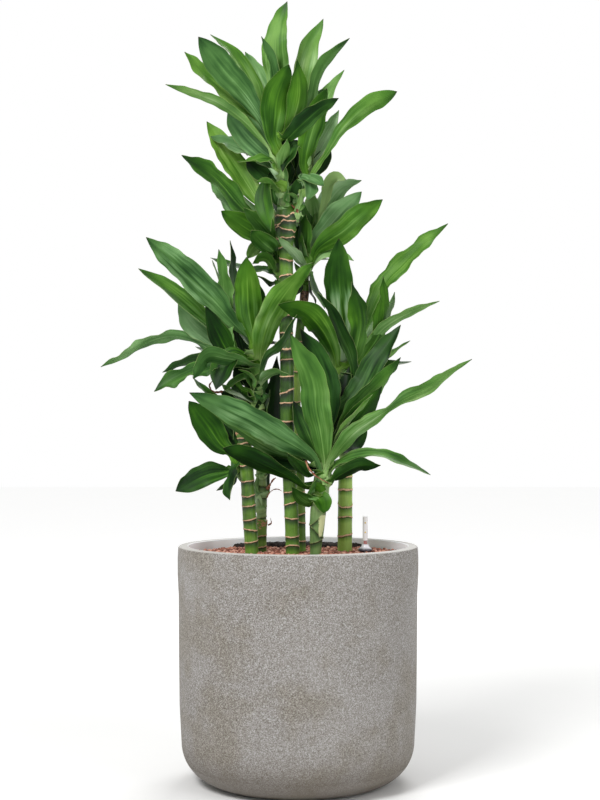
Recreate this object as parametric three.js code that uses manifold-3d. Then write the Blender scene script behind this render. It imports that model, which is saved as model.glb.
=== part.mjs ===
// A dracaena planted in a cast pot: five woody canes, eight leafy shoots and their leaves,
// in soil topped with clay granules, with a water gauge beside them.
// Millimetres, +Z up. The origin is the middle of the pot's base, and the plant's front faces -Y.
import * as THREE from 'three';
import { mergeVertices } from 'three/addons/utils/BufferGeometryUtils.js';
import Module from 'manifold-3d';

const wasm = await Module();
wasm.setup();

// Stems and leaves are drawn as [across, up], as an eye in front of the plant sees them against
// the upright plane through the pot's axis. Their depth is how far behind that plane they lie.
const eye = { distance: 2459, height: 588 };

const gap = 0.3; // left between pieces that touch
const tiny = 1e-4; // lengths below this count as none
const stemShare = 1e-6; // share of a stem to which a place on it is found
const reach = 400; // past the pot on any side, for blocks and drills that cut

const pot = {
  baseRadius: 126,
  cornerRadius: 67.5,
  wall: [[196.7, 130], [197.5, 210], [198.2, 310], [200, 345], [200, 372]],
  rim: { outer: 199, top: 391, round: 3.5, inner: 182.5 },
  inside: { foot: 176, floorRadius: 115, floor: 18, corner: 61 },
  facets: 36,
  curveSpans: 5,
};
const caneFacets = 10;
const shootFacets = 6;

// The soil rises in a bare bank behind the granules, from the depth `bankFrom` to the wall.
const soil = { top: 366, bankTop: 383, bankFrom: 144, bankRoot: 1 };
const granules = { top: 378 };
const gauge = {
  across: 113.6, depth: 35, bottom: 60, top: 438, tubeRadius: 4.25, boreRadius: 3.3, floatRadius: 2.9,
  floatTop: 398, facets: 16,
  foot: [[12, 0], [12, 3], [9, 6], [7, 8.5], [6, 13.7]], // [radius, height above the granules]
};

// Each row of a stem is [across, up, depth, radius].
const canes = {
  left_cane: [
    [-75, 310, 8, 11], [-77, 382, 8, 11], [-81, 440, 8, 11], [-85.5, 520, 8, 10.7], [-90, 570, 8, 10.7],
    [-95, 586, 8, 11],
  ],
  slim_cane: [[-61, 310, 50, 9], [-62, 385, 50, 9], [-62, 410, 50, 9], [-61.5, 433, 50, 9.6]],
  tall_cane: [
    [-8, 310, 0, 11], [-9, 380, 0, 11], [-11, 440, 0, 11], [-14, 500, 2, 10.5], [-18, 600, 4, 10.3],
    [-18.5, 700, 6, 10.2], [-20, 760, 8, 10], [-19.5, 860, 10, 10.2], [-20, 885, 10, 11.5],
    [-21, 905, 10, 17], [-21, 942, 10, 18],
  ],
  back_cane: [
    [7, 310, 45, 6.8], [6, 385, 45, 6.8], [4, 500, 48, 6.6], [2, 640, 52, 6.3], [5, 720, 54, 6.3],
    [10, 800, 56, 7], [12, 822, 56, 7.5],
  ],
  right_cane: [[78, 310, 60, 12], [78, 385, 60, 12], [78.5, 450, 60, 11.8], [79, 520, 60, 11.2]],
};

const stems = {
  top_left: {
    on: 'tall_cane',
    rows: [
      [-27, 936, 10, 9], [-28, 985, 6, 9], [-32, 1020, 3, 8.5], [-37, 1050, 0, 8], [-38, 1090, 0, 6],
      [-37, 1108, 0, 4],
    ],
  },
  top_right: {
    on: 'tall_cane',
    rows: [
      [-8, 934, 12, 7.5], [-4, 952, 14, 8], [3, 975, 16, 8], [9, 1002, 16, 8], [12, 1026, 16, 6],
      [13, 1042, 16, 4],
    ],
  },
  behind: {
    on: 'tall_cane',
    rows: [
      [-20, 800, 12, 5], [-26, 822, 28, 6], [-32, 860, 36, 7], [-36, 900, 40, 7], [-40, 932, 42, 6],
      [-41, 948, 42, 4],
    ],
  },
  middle: {
    on: 'back_cane',
    rows: [[12, 820, 56, 5.5], [13, 846, 54, 7], [16, 872, 50, 7], [18, 890, 48, 5]],
  },
  left: {
    on: 'slim_cane',
    rows: [
      [-61, 430, 50, 7.5], [-60, 480, 50, 7], [-62, 510, 48, 6.5], [-65, 560, 46, 6.5], [-63, 600, 44, 6.5],
      [-66, 640, 42, 7], [-68, 690, 40, 7.5], [-70, 744, 40, 5],
    ],
  },
  low_left: {
    on: 'left_cane',
    rows: [[-87, 496, 10, 5], [-97, 507, 17, 6], [-101, 525, 20, 6], [-104, 545, 22, 4]],
  },
  front: {
    rows: [
      [29, 330, -15, 8], [30, 385, -15, 10], [31, 420, -15, 11], [34, 450, -16, 11], [38, 480, -18, 11.5],
      [42, 510, -20, 11], [45, 540, -22, 9], [46, 574, -24, 5.5],
    ],
  },
  right: {
    on: 'right_cane',
    rows: [
      [78, 516, 60, 8], [74, 560, 60, 6.5], [72, 600, 58, 6.2], [70, 650, 55, 6.5], [70, 690, 52, 7],
      [71, 716, 50, 5],
    ],
  },
};

// Each leaf is [height on its stem, width, width as seen, tip's depth past the stem, lightness,
// [[across, up], ...] from its base to its tip]. The single leaves are pieces of their own. The
// others are small or sit so close that they are grown together with their stem.
const leaves = {
  top_left: {
    single: [
      [1065, 42, 40, 20, 0.85, [[-31, 1115], [-30, 1150], [-36, 1230], [-18, 1296]]],
      [1053, 46, 45, -75, 0.35, [[-60, 1100], [-90, 1145], [-125, 1185], [-166, 1238]]],
      [1040, 42, 26, 5, 0.45, [[-75, 1105], [-100, 1130], [-150, 1175], [-189, 1213]]],
      [1032, 38, 16, -25, 0.55, [[-55, 1055], [-80, 1080], [-115, 1115], [-160, 1138], [-221, 1159]]],
      [1035, 50, 50, -60, 0.9, [[-38, 1070], [-34, 1110], [-30, 1140], [-14, 1192]]],
      [1010, 50, 50, -60, 0.15, [[-45, 1035], [-62, 1052], [-80, 1070], [-117, 1114]]],
      [1000, 44, 36, -85, 0.5, [[-48, 1022], [-75, 1042], [-110, 1060], [-146, 1072]]],
      [1072, 40, 35, -60, 0.2, [[-15, 1086], [20, 1100], [68, 1136]]],
    ],
    bunch: [
      [1070, 42, 35, 90, 0.3, [[-50, 1090], [-55, 1120], [-75, 1180], [-88, 1213]]],
      [1080, 40, 14, 75, 0.2, [[-42, 1130], [-45, 1180], [-59, 1238]]],
      [1070, 42, 28, 45, 0.4, [[-55, 1090], [-75, 1140], [-100, 1195], [-146, 1242]]],
      [1055, 40, 30, 50, 0.5, [[-14, 1085], [0, 1150], [-2, 1201]]],
      [988, 30, 12, -110, 0.8, [[-42, 1020], [-60, 1038], [-100, 1030]]],
      [975, 30, 26, -60, 0.6, [[-36, 988], [-50, 998], [-62, 980], [-50, 920]]],
      [1000, 30, 22, -60, 0.3, [[-27, 1030], [-18, 1068], [-22, 1045], [-25, 1013]]],
      [1045, 42, 40, 170, 0.4, [[-45, 1070], [-62, 1105], [-78, 1130]]],
      [1060, 42, 40, 165, 0.4, [[-25, 1090], [-5, 1125], [12, 1140]]],
      [1020, 42, 40, 180, 0.4, [[-50, 1040], [-72, 1050], [-95, 1052]]],
    ],
  },
  top_right: {
    single: [
      [1032, 38, 35, 60, 0.8, [[12, 1060], [10, 1140], [22, 1210], [46, 1269]]],
      [1018, 40, 18, -30, 0.25, [[16, 1070], [20, 1140], [45, 1195], [83, 1234]]],
      [970, 36, 28, -30, 0.8, [[25, 1015], [55, 1060], [78, 1085], [120, 1118], [165, 1147]]],
      [990, 42, 38, -40, 0.85, [[12, 1025], [18, 1060], [30, 1095], [45, 1125]]],
    ],
    bunch: [
      [1008, 38, 20, 65, 0.3, [[28, 1080], [45, 1130], [60, 1160], [76, 1182]]],
      [1022, 30, 24, 95, 0.3, [[22, 1090], [25, 1135], [50, 1155]]],
      [998, 38, 20, 50, 0.5, [[20, 1030], [50, 1080], [66, 1115]]],
      [984, 38, 28, 35, 0.05, [[20, 1002], [40, 1030], [57, 1062]]],
      [976, 36, 35, -80, 0.5, [[10, 996], [13, 1003], [14, 995], [15, 966]]],
      [1012, 42, 40, 170, 0.4, [[22, 1050], [45, 1085], [62, 1100]]],
      [990, 40, 38, 160, 0.4, [[18, 1015], [32, 1030], [45, 1038]]],
    ],
  },
  behind: {
    single: [
      [925, 46, 45, 30, 0.95, [[-52, 945], [-75, 975], [-115, 1035], [-152, 1097]]],
      [914, 40, 30, -15, 0.2, [[-60, 920], [-78, 938], [-100, 960], [-140, 1005], [-194, 1041]]],
      [882, 40, 35, -50, 0.6, [[-60, 902], [-95, 925], [-128, 948]]],
    ],
    bunch: [
      [906, 36, 25, 60, 0.5, [[-60, 912], [-90, 925], [-125, 965], [-150, 998]]],
      [890, 30, 20, 10, 0.8, [[-48, 900], [-65, 893], [-85, 868]]],
      [896, 38, 30, -40, 0.5, [[-46, 906], [-60, 920], [-90, 953]]],
      [868, 38, 32, -95, 0.03, [[-42, 882], [-55, 893], [-78, 916]]],
      [838, 24, 12, -30, 0.4, [[-38, 852], [-50, 869], [-62, 868], [-72, 858]]],
      [842, 26, 12, 20, 0.05, [[-45, 852], [-75, 850], [-110, 860], [-146, 872]]],
      [820, 22, 6, -10, 0.1, [[-45, 826], [-60, 836], [-75, 843]]],
      [912, 40, 36, 160, 0.4, [[-48, 945], [-60, 975], [-66, 990]]],
      [900, 40, 36, 150, 0.4, [[-45, 915], [-58, 925], [-66, 930]]],
    ],
  },
  middle: {
    single: [
      [862, 42, 40, -10, 0.5, [[31, 900], [50, 922], [70, 945], [105, 977]]],
      [850, 42, 40, -50, 0.7, [[31, 885], [75, 920], [105, 941], [143, 967]]],
      [876, 34, 20, 35, 0.85, [[24, 900], [35, 930], [47, 985], [80, 1000]]],
    ],
    bunch: [
      [868, 40, 26, 95, 0.35, [[28, 900], [45, 955], [75, 975], [104, 990]]],
      [878, 34, 22, 85, 0.5, [[16, 900], [20, 930], [28, 978]]],
      [846, 26, 12, -135, 0.45, [[5, 862], [-10, 880], [-33, 905]]],
      [858, 26, 10, -30, 0.4, [[10, 870], [7, 890], [5, 910]]],
      [838, 26, 12, -30, 0.5, [[22, 842], [28, 815], [45, 785]]],
      [842, 30, 18, -20, 0.85, [[28, 862], [45, 876], [68, 875], [93, 865]]],
      [848, 14, 6, 25, 0.1, [[24, 858], [35, 867], [55, 868]]],
      [858, 40, 36, 150, 0.4, [[28, 895], [50, 915], [66, 925]]],
      [850, 38, 34, 140, 0.4, [[5, 880], [-8, 900], [-15, 915]]],
    ],
  },
  left: {
    single: [
      [718, 46, 42, -20, 0.45, [[-82, 735], [-105, 755], [-140, 795], [-190, 845], [-252, 903]]],
      [693, 40, 32, -60, 0.35, [[-92, 708], [-120, 735], [-158, 770], [-205, 812], [-266, 852]]],
      [698, 45, 45, 65, 0.4, [[-90, 705], [-115, 715], [-175, 760], [-200, 793]]],
      [683, 34, 13, 10, 0.8, [[-100, 692], [-130, 715], [-165, 738], [-205, 748], [-245, 738], [-270, 722],
        [-300, 706], [-329, 688]]],
      [727, 32, 24, 34, 0.9, [[-84, 738], [-100, 755], [-112, 775], [-122, 830], [-131, 884]]],
      [706, 44, 42, -70, 0.9, [[-78, 740], [-86, 780], [-88, 815], [-84, 869]]],
      [690, 44, 38, -135, 0.9, [[-62, 715], [-45, 770], [-5, 830], [25, 862]]],
      [673, 40, 28, -20, 0.3, [[-85, 684], [-115, 694], [-190, 675], [-240, 647]]],
      [678, 30, 22, -85, 0.6, [[-85, 694], [-120, 702], [-150, 705], [-175, 668]]],
    ],
    bunch: [
      [712, 34, 10, 85, 0.1, [[-85, 730], [-100, 755], [-109, 840], [-113, 899]]],
      [733, 30, 10, 112, 0.3, [[-90, 748], [-120, 800], [-135, 845], [-143, 866]]],
      [705, 34, 12, 25, 0.2, [[-70, 730], [-72, 790], [-68, 838]]],
      [662, 26, 12, -110, 0.6, [[-60, 682], [-52, 702], [-30, 722], [-2, 775]]],
      [652, 26, 15, -110, 0.6, [[-54, 668], [-30, 675], [-12, 675]]],
      [690, 34, 12, 60, 0.05, [[-55, 722], [-40, 728], [-28, 728]]],
      [548, 34, 28, 30, 0.03, [[-56, 580], [-46, 620], [-40, 670], [-35, 706]]],
      [704, 30, 14, 135, 0.3, [[-95, 703], [-130, 705], [-171, 722]]],
      [690, 34, 20, 60, 0.35, [[-90, 695], [-110, 700], [-180, 697], [-226, 679]]],
      [662, 34, 28, -45, 0.1, [[-85, 676], [-120, 684], [-139, 651]]],
      [684, 38, 35, 130, 0.03, [[-92, 695], [-115, 703], [-135, 745], [-154, 790]]],
      [705, 42, 40, 170, 0.4, [[-78, 730], [-95, 760], [-104, 775]]],
      [690, 42, 38, 180, 0.35, [[-52, 705], [-35, 720], [-25, 725]]],
      [680, 40, 36, 170, 0.4, [[-85, 690], [-105, 695], [-118, 690]]],
    ],
  },
  low_left: {
    single: [
      [522, 45, 45, -10, 0.7, [[-115, 546], [-130, 562], [-150, 590], [-182, 631]]],
      [509, 40, 38, -45, 0.2, [[-112, 515], [-150, 508], [-204, 481]]],
    ],
    bunch: [
      [535, 30, 15, 70, 0.4, [[-105, 565], [-110, 600], [-150, 642], [-176, 672]]],
      [530, 30, 25, 30, 0.03, [[-104, 555], [-118, 580], [-143, 616]]],
      [518, 30, 20, -75, 0.15, [[-107, 520], [-112, 500], [-114, 466]]],
      [500, 22, 12, 40, 0.3, [[-108, 495], [-136, 482]]],
      [525, 38, 34, 150, 0.4, [[-110, 550], [-125, 570], [-130, 580]]],
    ],
  },
  front: {
    single: [
      [545, 44, 40, 20, 0.25, [[62, 570], [75, 605], [100, 650], [135, 700], [171, 760]]],
      [533, 40, 32, -40, 0.4, [[65, 560], [80, 590], [110, 625], [140, 665], [171, 704]]],
      [519, 40, 25, -30, 0.85, [[60, 535], [75, 560], [110, 595], [150, 614], [180, 632], [215, 650],
        [240, 667], [291, 701]]],
      [505, 32, 14, -60, 0.7, [[55, 520], [70, 530], [100, 540], [140, 544], [180, 530], [221, 513]]],
      [534, 48, 47, -100, 0.95, [[40, 570], [33, 600], [28, 640], [10, 690], [-12, 743]]],
      [520, 46, 45, -85, 0.65, [[28, 535], [15, 545], [-30, 570], [-80, 600], [-130, 622], [-181, 645]]],
      [495, 40, 32, -35, 0.15, [[22, 492], [-10, 506], [-40, 517], [-80, 535], [-125, 553]]],
    ],
    bunch: [
      [556, 30, 8, 115, 0.5, [[72, 608], [110, 660], [150, 690], [189, 697]]],
      [524, 48, 48, 45, 0.2, [[62, 550], [85, 580], [115, 615], [140, 657]]],
      [488, 32, 25, -60, 0.15, [[55, 497], [70, 508], [100, 523], [138, 524]]],
      [550, 48, 48, -10, 0.03, [[50, 590], [55, 650], [40, 700], [8, 752]]],
      [513, 38, 25, -15, 0.15, [[22, 525], [-5, 543], [-40, 558], [-90, 585], [-148, 620]]],
      [545, 34, 22, 20, 0.03, [[30, 570], [12, 590], [-8, 631]]],
      [470, 28, 22, -30, 0.5, [[20, 468], [5, 476], [-12, 486]]],
      [480, 34, 30, -55, 0.9, [[38, 484], [44, 474], [46, 449]]],
      [535, 40, 38, 95, 0.4, [[62, 548], [95, 570], [112, 598]]],
      [520, 40, 36, 160, 0.4, [[25, 545], [5, 560], [-5, 565]]],
      [510, 38, 14, 55, 0.4, [[62, 520], [85, 530], [105, 538]]],
    ],
  },
  right: {
    single: [
      [690, 50, 50, -60, 0.3, [[75, 745], [68, 840], [68, 902]]],
      [700, 38, 32, 30, 0.85, [[88, 712], [100, 728], [130, 800], [150, 835], [175, 860], [210, 895],
        [250, 927]]],
      [681, 36, 16, -10, 0.85, [[90, 700], [110, 718], [150, 758], [190, 780], [238, 799]]],
      [676, 42, 38, -110, 0.4, [[60, 708], [40, 750], [10, 780], [-33, 792]]],
    ],
    bunch: [
      [704, 38, 30, 15, 0.4, [[90, 718], [98, 730], [103, 760], [88, 824]]],
      [636, 26, 14, -95, 0.15, [[84, 650], [93, 677], [88, 706], [70, 752], [55, 785], [32, 813]]],
      [689, 34, 25, 90, 0.4, [[95, 712], [115, 725], [142, 790], [142, 837]]],
      [690, 34, 16, 60, 0.35, [[100, 715], [130, 745], [155, 790], [161, 813]]],
      [675, 34, 18, 125, 0.35, [[95, 710], [118, 740], [140, 797]]],
      [655, 24, 8, 30, 0.5, [[85, 665], [110, 685], [150, 708], [187, 732]]],
      [672, 22, 14, -25, 0.5, [[80, 680], [92, 675]]],
      [660, 22, 10, -15, 0.05, [[82, 660], [95, 645]]],
      [709, 42, 40, 170, 0.4, [[80, 732], [92, 760], [98, 775]]],
      [690, 40, 38, 165, 0.4, [[60, 712], [48, 735], [42, 745]]],
      [680, 40, 36, 160, 0.4, [[88, 695], [108, 715], [118, 722]]],
    ],
  },
};

// Half-width of a leaf along its length, as a share of its widest half-width.
const leafOutline = [
  [0, 0.32], [0.1, 0.28], [0.24, 0.5], [0.4, 0.88], [0.56, 1], [0.74, 0.84], [0.89, 0.45], [1, 0.03],
];
const smallLeafOutline = [[0, 0.32], [0.14, 0.32], [0.34, 0.8], [0.55, 1], [0.8, 0.72], [1, 0.03]];
const leafThickness = { tip: 0.8, middle: 2 };
const leafRise = 8; // how far a leaf's base climbs its stem before it leaves it
const leafLift = 4; // how far it has left the stem by then
const leafBow = 0.8; // below 1, a leaf gains most of its depth near its stem
const leafTwistEnd = 0.3; // share of its length by which a blade has turned to its own slant
const leafRoot = 1.5; // a leaf grown together with its stem starts this far inside it
const leafStand = gap + leafThickness.middle / 2; // a leaf of its own starts this far off it

const up = new THREE.Vector3(0, 0, 1);

function seen(across, height, depth) {
  const scale = (eye.distance + depth) / eye.distance;
  return new THREE.Vector3(across * scale, depth, eye.height + (height - eye.height) * scale);
}

// A closed solid from a geometry, without the triangles that a lathe leaves collapsed on its axis.
function toSolid(geometry) {
  geometry.deleteAttribute('normal');
  geometry.deleteAttribute('uv');
  const merged = mergeVertices(geometry, tiny);
  const corners = merged.index.array;
  const kept = [];
  for (let i = 0; i < corners.length; i += 3) {
    const [a, b, c] = [corners[i], corners[i + 1], corners[i + 2]];
    if (a !== b && b !== c && c !== a) kept.push(a, b, c);
  }
  const vertProperties = Float32Array.from(merged.attributes.position.array);
  return new wasm.Manifold(new wasm.Mesh({ numProp: 3, vertProperties, triVerts: Uint32Array.from(kept) }));
}

function toGeometry(solid) {
  const mesh = solid.getMesh();
  const geometry = new THREE.BufferGeometry();
  geometry.setAttribute('position', new THREE.BufferAttribute(mesh.vertProperties, 3));
  geometry.setIndex(new THREE.BufferAttribute(mesh.triVerts, 1));
  geometry.computeVertexNormals();
  return geometry;
}

function lathe(points, facets) {
  return new THREE.LatheGeometry(points, facets).rotateX(Math.PI / 2);
}

// The pot's inner radius at a height above its inner corner.
function innerRadius(height) {
  const { foot, floor, corner } = pot.inside;
  const share = (height - floor - corner) / (pot.rim.top - floor - corner);
  return THREE.MathUtils.lerp(foot, pot.rim.inner, share);
}

// The pot's inner wall from its floor's centre up to `top`, moved inwards by `inset`.
function insidePath(inset, top) {
  const { foot, floorRadius, floor, corner } = pot.inside;
  const path = new THREE.Path();
  path.moveTo(0, floor + inset);
  path.lineTo(floorRadius - inset, floor + inset);
  path.quadraticCurveTo(foot - inset, floor + inset, foot - inset, floor + corner);
  path.lineTo(innerRadius(top) - inset, top);
  return path;
}

function makePot() {
  const { outer, top, round, inner } = pot.rim;
  const outside = new THREE.Path();
  outside.moveTo(0, 0);
  outside.lineTo(pot.baseRadius, 0);
  outside.absarc(pot.baseRadius, pot.cornerRadius, pot.cornerRadius, -Math.PI / 2, 0);
  for (const [radius, height] of pot.wall) outside.lineTo(radius, height);
  outside.lineTo(outer, top - round);
  outside.quadraticCurveTo(outer, top, outer - round, top);
  outside.lineTo(inner, top);
  const inside = insidePath(0, top).getPoints(pot.curveSpans);
  return lathe([...outside.getPoints(pot.curveSpans), ...inside.reverse().slice(1)], pot.facets);
}

// The disc that fills the pot's inside between two heights.
function makeDisc(bottom, top) {
  const corners = [[0, bottom], [innerRadius(bottom) - gap, bottom], [innerRadius(top) - gap, top], [0, top]];
  return toSolid(lathe(corners.map(([radius, height]) => new THREE.Vector2(radius, height)), pot.facets));
}

// A block between two depths, wider than the pot, that takes in all that lies above the soil.
function makeBlock(near, far) {
  const height = soil.top - soil.bankRoot + reach / 2;
  const geometry = new THREE.BoxGeometry(2 * reach, far - near, reach);
  return toSolid(geometry.translate(0, (near + far) / 2, height));
}

function stemCurve(rows) {
  return new THREE.CatmullRomCurve3(rows.map(([across, height, depth]) => seen(across, height, depth)));
}

// A stem: a faceted bar bent along its rows, `grow` thicker and longer than they say.
function makeStem(rows, facets, grow = 0) {
  const spans = rows.length - 1;
  const curve = stemCurve(rows);
  const geometry = new THREE.CylinderGeometry(1, 1, 1, facets, spans);
  const positions = geometry.attributes.position;
  for (let i = 0; i < positions.count; i += 1) {
    const share = positions.getY(i) + 0.5;
    const point = curve.getPoint(share);
    const along = curve.getTangent(share);
    const side = new THREE.Vector3(1, 0, 0).addScaledVector(along, -along.x).normalize();
    const facing = side.clone().cross(along);
    const radius = stemRadius(rows, share) + grow;
    point.addScaledVector(side, positions.getX(i) * radius);
    point.addScaledVector(facing, positions.getZ(i) * radius);
    const end = Number(share === 1) - Number(share === 0);
    point.addScaledVector(along, end * grow);
    positions.setXYZ(i, point.x, point.y, point.z);
  }
  return toSolid(geometry);
}

function stemRadius(rows, share) {
  const place = share * (rows.length - 1);
  const row = Math.min(Math.floor(place), rows.length - 2);
  return THREE.MathUtils.lerp(rows[row][3], rows[row + 1][3], place - row);
}

// Where a stem passes a height, and how thick it is there, found by halving the curve.
function stemAt(rows, height) {
  let low = 0;
  let high = 1;
  const curve = stemCurve(rows);
  while (high - low > stemShare) {
    const middle = (low + high) / 2;
    if (curve.getPoint(middle).z < height) low = middle;
    else high = middle;
  }
  return { point: curve.getPoint(low), radius: stemRadius(rows, low) };
}

// How far a stem's faceted side lies from its axis in a level direction.
function sideRadius(radius, direction) {
  const half = Math.PI / shootFacets;
  const angle = Math.atan2(direction.x, -direction.y);
  const fromCorner = THREE.MathUtils.euclideanModulo(angle, 2 * half);
  return (radius * Math.cos(half)) / Math.cos(fromCorner - half);
}

// The line that a leaf's midrib follows: up its stem's side, then out along its route. A leaf that
// is `grown` starts inside its stem, and any other stands just clear of it.
function leafCurve(rows, [height, , , depth, , route], grown) {
  const depthAtBase = stemAt(rows, height).point.y;
  const start = stemAt(rows, seen(0, height, depthAtBase).z);
  const rise = stemAt(rows, start.point.z + leafRise);
  const lengths = [0];
  const corners = [[start.point.x, height], ...route];
  for (let i = 1; i < corners.length; i += 1) {
    const [across, climb] = [corners[i][0] - corners[i - 1][0], corners[i][1] - corners[i - 1][1]];
    lengths.push(lengths[i - 1] + Math.hypot(across, climb));
  }
  const length = lengths[lengths.length - 1];
  const points = route.map(([x, z], i) => {
    const share = lengths[i + 1] / length;
    return seen(x, z, start.point.y + depth * share ** leafBow);
  });
  const tip = points[points.length - 1];
  const outward = new THREE.Vector3(tip.x - start.point.x, tip.y - start.point.y, 0).normalize();
  const fromAxis = (radius) => (grown ? radius - leafRoot : sideRadius(radius, outward) + leafStand);
  const base = start.point.clone().addScaledVector(outward, fromAxis(start.radius));
  const second = rise.point.clone().addScaledVector(outward, fromAxis(rise.radius) + leafLift);
  const curve = new THREE.CatmullRomCurve3([base, second, ...points], false, 'centripetal');
  return { curve, outward };
}

// Which way a blade's width lies at a point of its midrib, turned so that it shows its seen width.
function bladeSide(along, outward, shareSeen, turned) {
  const across = new THREE.Vector3(0, 1, 0).cross(along);
  if (across.lengthSq() < tiny) across.set(1, 0, 0);
  across.normalize();
  const towards = along.clone().cross(across).normalize();
  const natural = outward.clone().cross(up);
  natural.addScaledVector(along, -natural.dot(along)).normalize();
  const lean = Math.acos(Math.min(1, shareSeen));
  let best = natural;
  let most = -2;
  for (const [a, b] of [[1, 1], [1, -1], [-1, 1], [-1, -1]]) {
    const side = across.clone().multiplyScalar(a * Math.cos(lean));
    side.addScaledVector(towards, b * Math.sin(lean));
    if (side.dot(natural) > most) {
      most = side.dot(natural);
      best = side;
    }
  }
  const ease = THREE.MathUtils.smoothstep(turned, 0, leafTwistEnd);
  const side = natural.multiplyScalar(1 - ease).addScaledVector(best, ease);
  return side.addScaledVector(along, -side.dot(along)).normalize();
}

// Round a blade's section, its edges and its ridges by turns, as [across, facing].
const bladeCorners = [[-1, 0], [0, 1], [1, 0], [0, -1]];

// The triangles of a bar with that section. Both faces of each half of the blade are split the
// same way, so that it keeps its thickness where it twists.
function bladeFaces(spans) {
  const count = bladeCorners.length;
  const last = spans * count;
  const faces = [0, 2, 1, 0, 3, 2, last, last + 1, last + 2, last, last + 2, last + 3];
  for (let span = 0; span < spans; span += 1) {
    for (let corner = 0; corner < count; corner += 1) {
      const a = span * count + corner;
      const b = span * count + ((corner + 1) % count);
      if (corner % 2 === 0) faces.push(a, b, b + count, a, b + count, a + count);
      else faces.push(a, b, a + count, b, b + count, a + count);
    }
  }
  return faces;
}

function makeLeaf(rows, leaf, grown) {
  const [, width, seenWidth] = leaf;
  const outline = grown ? smallLeafOutline : leafOutline;
  const { curve, outward } = leafCurve(rows, leaf, grown);
  const points = outline.flatMap(([share, breadth]) => {
    const along = curve.getTangentAt(share);
    const side = bladeSide(along, outward, seenWidth / width, share);
    const facing = side.clone().cross(along);
    const halfWidth = (breadth * width) / 2;
    const halfThickness = THREE.MathUtils.lerp(leafThickness.tip, leafThickness.middle, breadth) / 2;
    return bladeCorners.map(([x, z]) => {
      const point = curve.getPointAt(share).addScaledVector(side, x * halfWidth);
      return point.addScaledVector(facing, z * halfThickness);
    });
  });
  const geometry = new THREE.BufferGeometry().setFromPoints(points);
  geometry.setIndex(bladeFaces(outline.length - 1));
  return toSolid(geometry);
}

function gaugeLathe(rows) {
  const points = rows.map(([radius, height]) => new THREE.Vector2(radius, height));
  return lathe(points, gauge.facets).translate(gauge.across, gauge.depth, 0);
}

function makeGaugeTube() {
  const { bottom, top, tubeRadius, boreRadius } = gauge;
  const roof = top - (tubeRadius - boreRadius);
  return gaugeLathe([[boreRadius, bottom], [tubeRadius, bottom], [tubeRadius, top], [0, top], [0, roof],
    [boreRadius, roof], [boreRadius, bottom]]);
}

function makeGaugeFoot() {
  const bore = gauge.tubeRadius + gap;
  const bottom = granules.top + gap;
  const wall = gauge.foot.map(([radius, height]) => [radius, bottom + height]);
  const footTop = wall[wall.length - 1][1];
  return gaugeLathe([[bore, bottom], ...wall, [bore, footTop], [bore, bottom]]);
}

function makeGaugeFloat() {
  const { bottom, floatTop, floatRadius } = gauge;
  return gaugeLathe([[0, bottom], [floatRadius, bottom], [floatRadius, floatTop], [0, floatTop]]);
}

const plant = new THREE.Group();

function finish(color, roughness, metalness = 0) {
  return new THREE.MeshStandardMaterial({ color, roughness, metalness, flatShading: true });
}

function add(name, geometry, material) {
  const mesh = new THREE.Mesh(geometry, material);
  mesh.name = name;
  plant.add(mesh);
}

const finishes = {
  cast: finish('#a29d94', 0.85),
  soil: finish('#1d1713', 1),
  clay: finish('#be6e55', 0.95),
  cane: finish('#54842f', 0.5),
  clear: finish('#d7d8da', 0.15),
  foot: finish('#8e8f92', 0.3),
  float: finish('#b5341c', 0.4),
};
const darkLeaf = new THREE.Color('#17401b');
const lightLeaf = new THREE.Color('#7aa64c');
const leafFinish = (lightness) => finish(darkLeaf.clone().lerp(lightLeaf, lightness), 0.4);

add('pot', makePot(), finishes.cast);

// What stands in the soil and the granules, a little larger than it is, to cut its holes.
const drillRadius = gauge.tubeRadius + gap;
const drill = new THREE.CylinderGeometry(drillRadius, drillRadius, reach, gauge.facets).rotateX(Math.PI / 2);
const gaugeHole = toSolid(drill.translate(gauge.across, gauge.depth, gauge.bottom - gap + reach / 2));
let planted = makeStem(stems.front.rows, shootFacets, gap).add(gaugeHole);
for (const rows of Object.values(canes)) planted = planted.add(makeStem(rows, caneFacets, gap));

const soilPath = insidePath(gap, soil.top);
soilPath.lineTo(0, soil.top);
const soilBank = makeDisc(soil.top - soil.bankRoot, soil.bankTop).intersect(makeBlock(soil.bankFrom, reach));
const soilBody = toSolid(lathe(soilPath.getPoints(pot.curveSpans), pot.facets)).add(soilBank);
add('potting_soil', toGeometry(soilBody.subtract(planted)), finishes.soil);

const clearOfBank = makeBlock(-reach, soil.bankFrom - gap);
const granuleLayer = makeDisc(soil.top + gap, granules.top).intersect(clearOfBank);
add('clay_granules', toGeometry(granuleLayer.subtract(planted)), finishes.clay);

add('gauge_foot', makeGaugeFoot(), finishes.foot);
add('gauge_tube', makeGaugeTube(), finishes.clear);
add('gauge_float', makeGaugeFloat(), finishes.float);

for (const [name, rows] of Object.entries(canes)) {
  add(name, toGeometry(makeStem(rows, caneFacets)), finishes.cane);
}

for (const [name, { on, rows }] of Object.entries(stems)) {
  let shoot = makeStem(rows, shootFacets);
  for (const leaf of leaves[name].bunch) {
    shoot = shoot.add(makeLeaf(rows, leaf, true));
  }
  if (on) shoot = shoot.subtract(makeStem(canes[on], caneFacets, gap));
  add(`${name}_shoot`, toGeometry(shoot), leafFinish(0.5));
  leaves[name].single.forEach((leaf, i) => {
    const lightness = leaf[4];
    add(`${name}_leaf_${i + 1}`, toGeometry(makeLeaf(rows, leaf, false)), leafFinish(lightness));
  });
}

export default plant;
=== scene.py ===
# A potted dracaena: five canes with leafy shoots in a cast pot, with soil, clay granules and a water gauge.
import math
import random
from bisect import bisect_right

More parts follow.
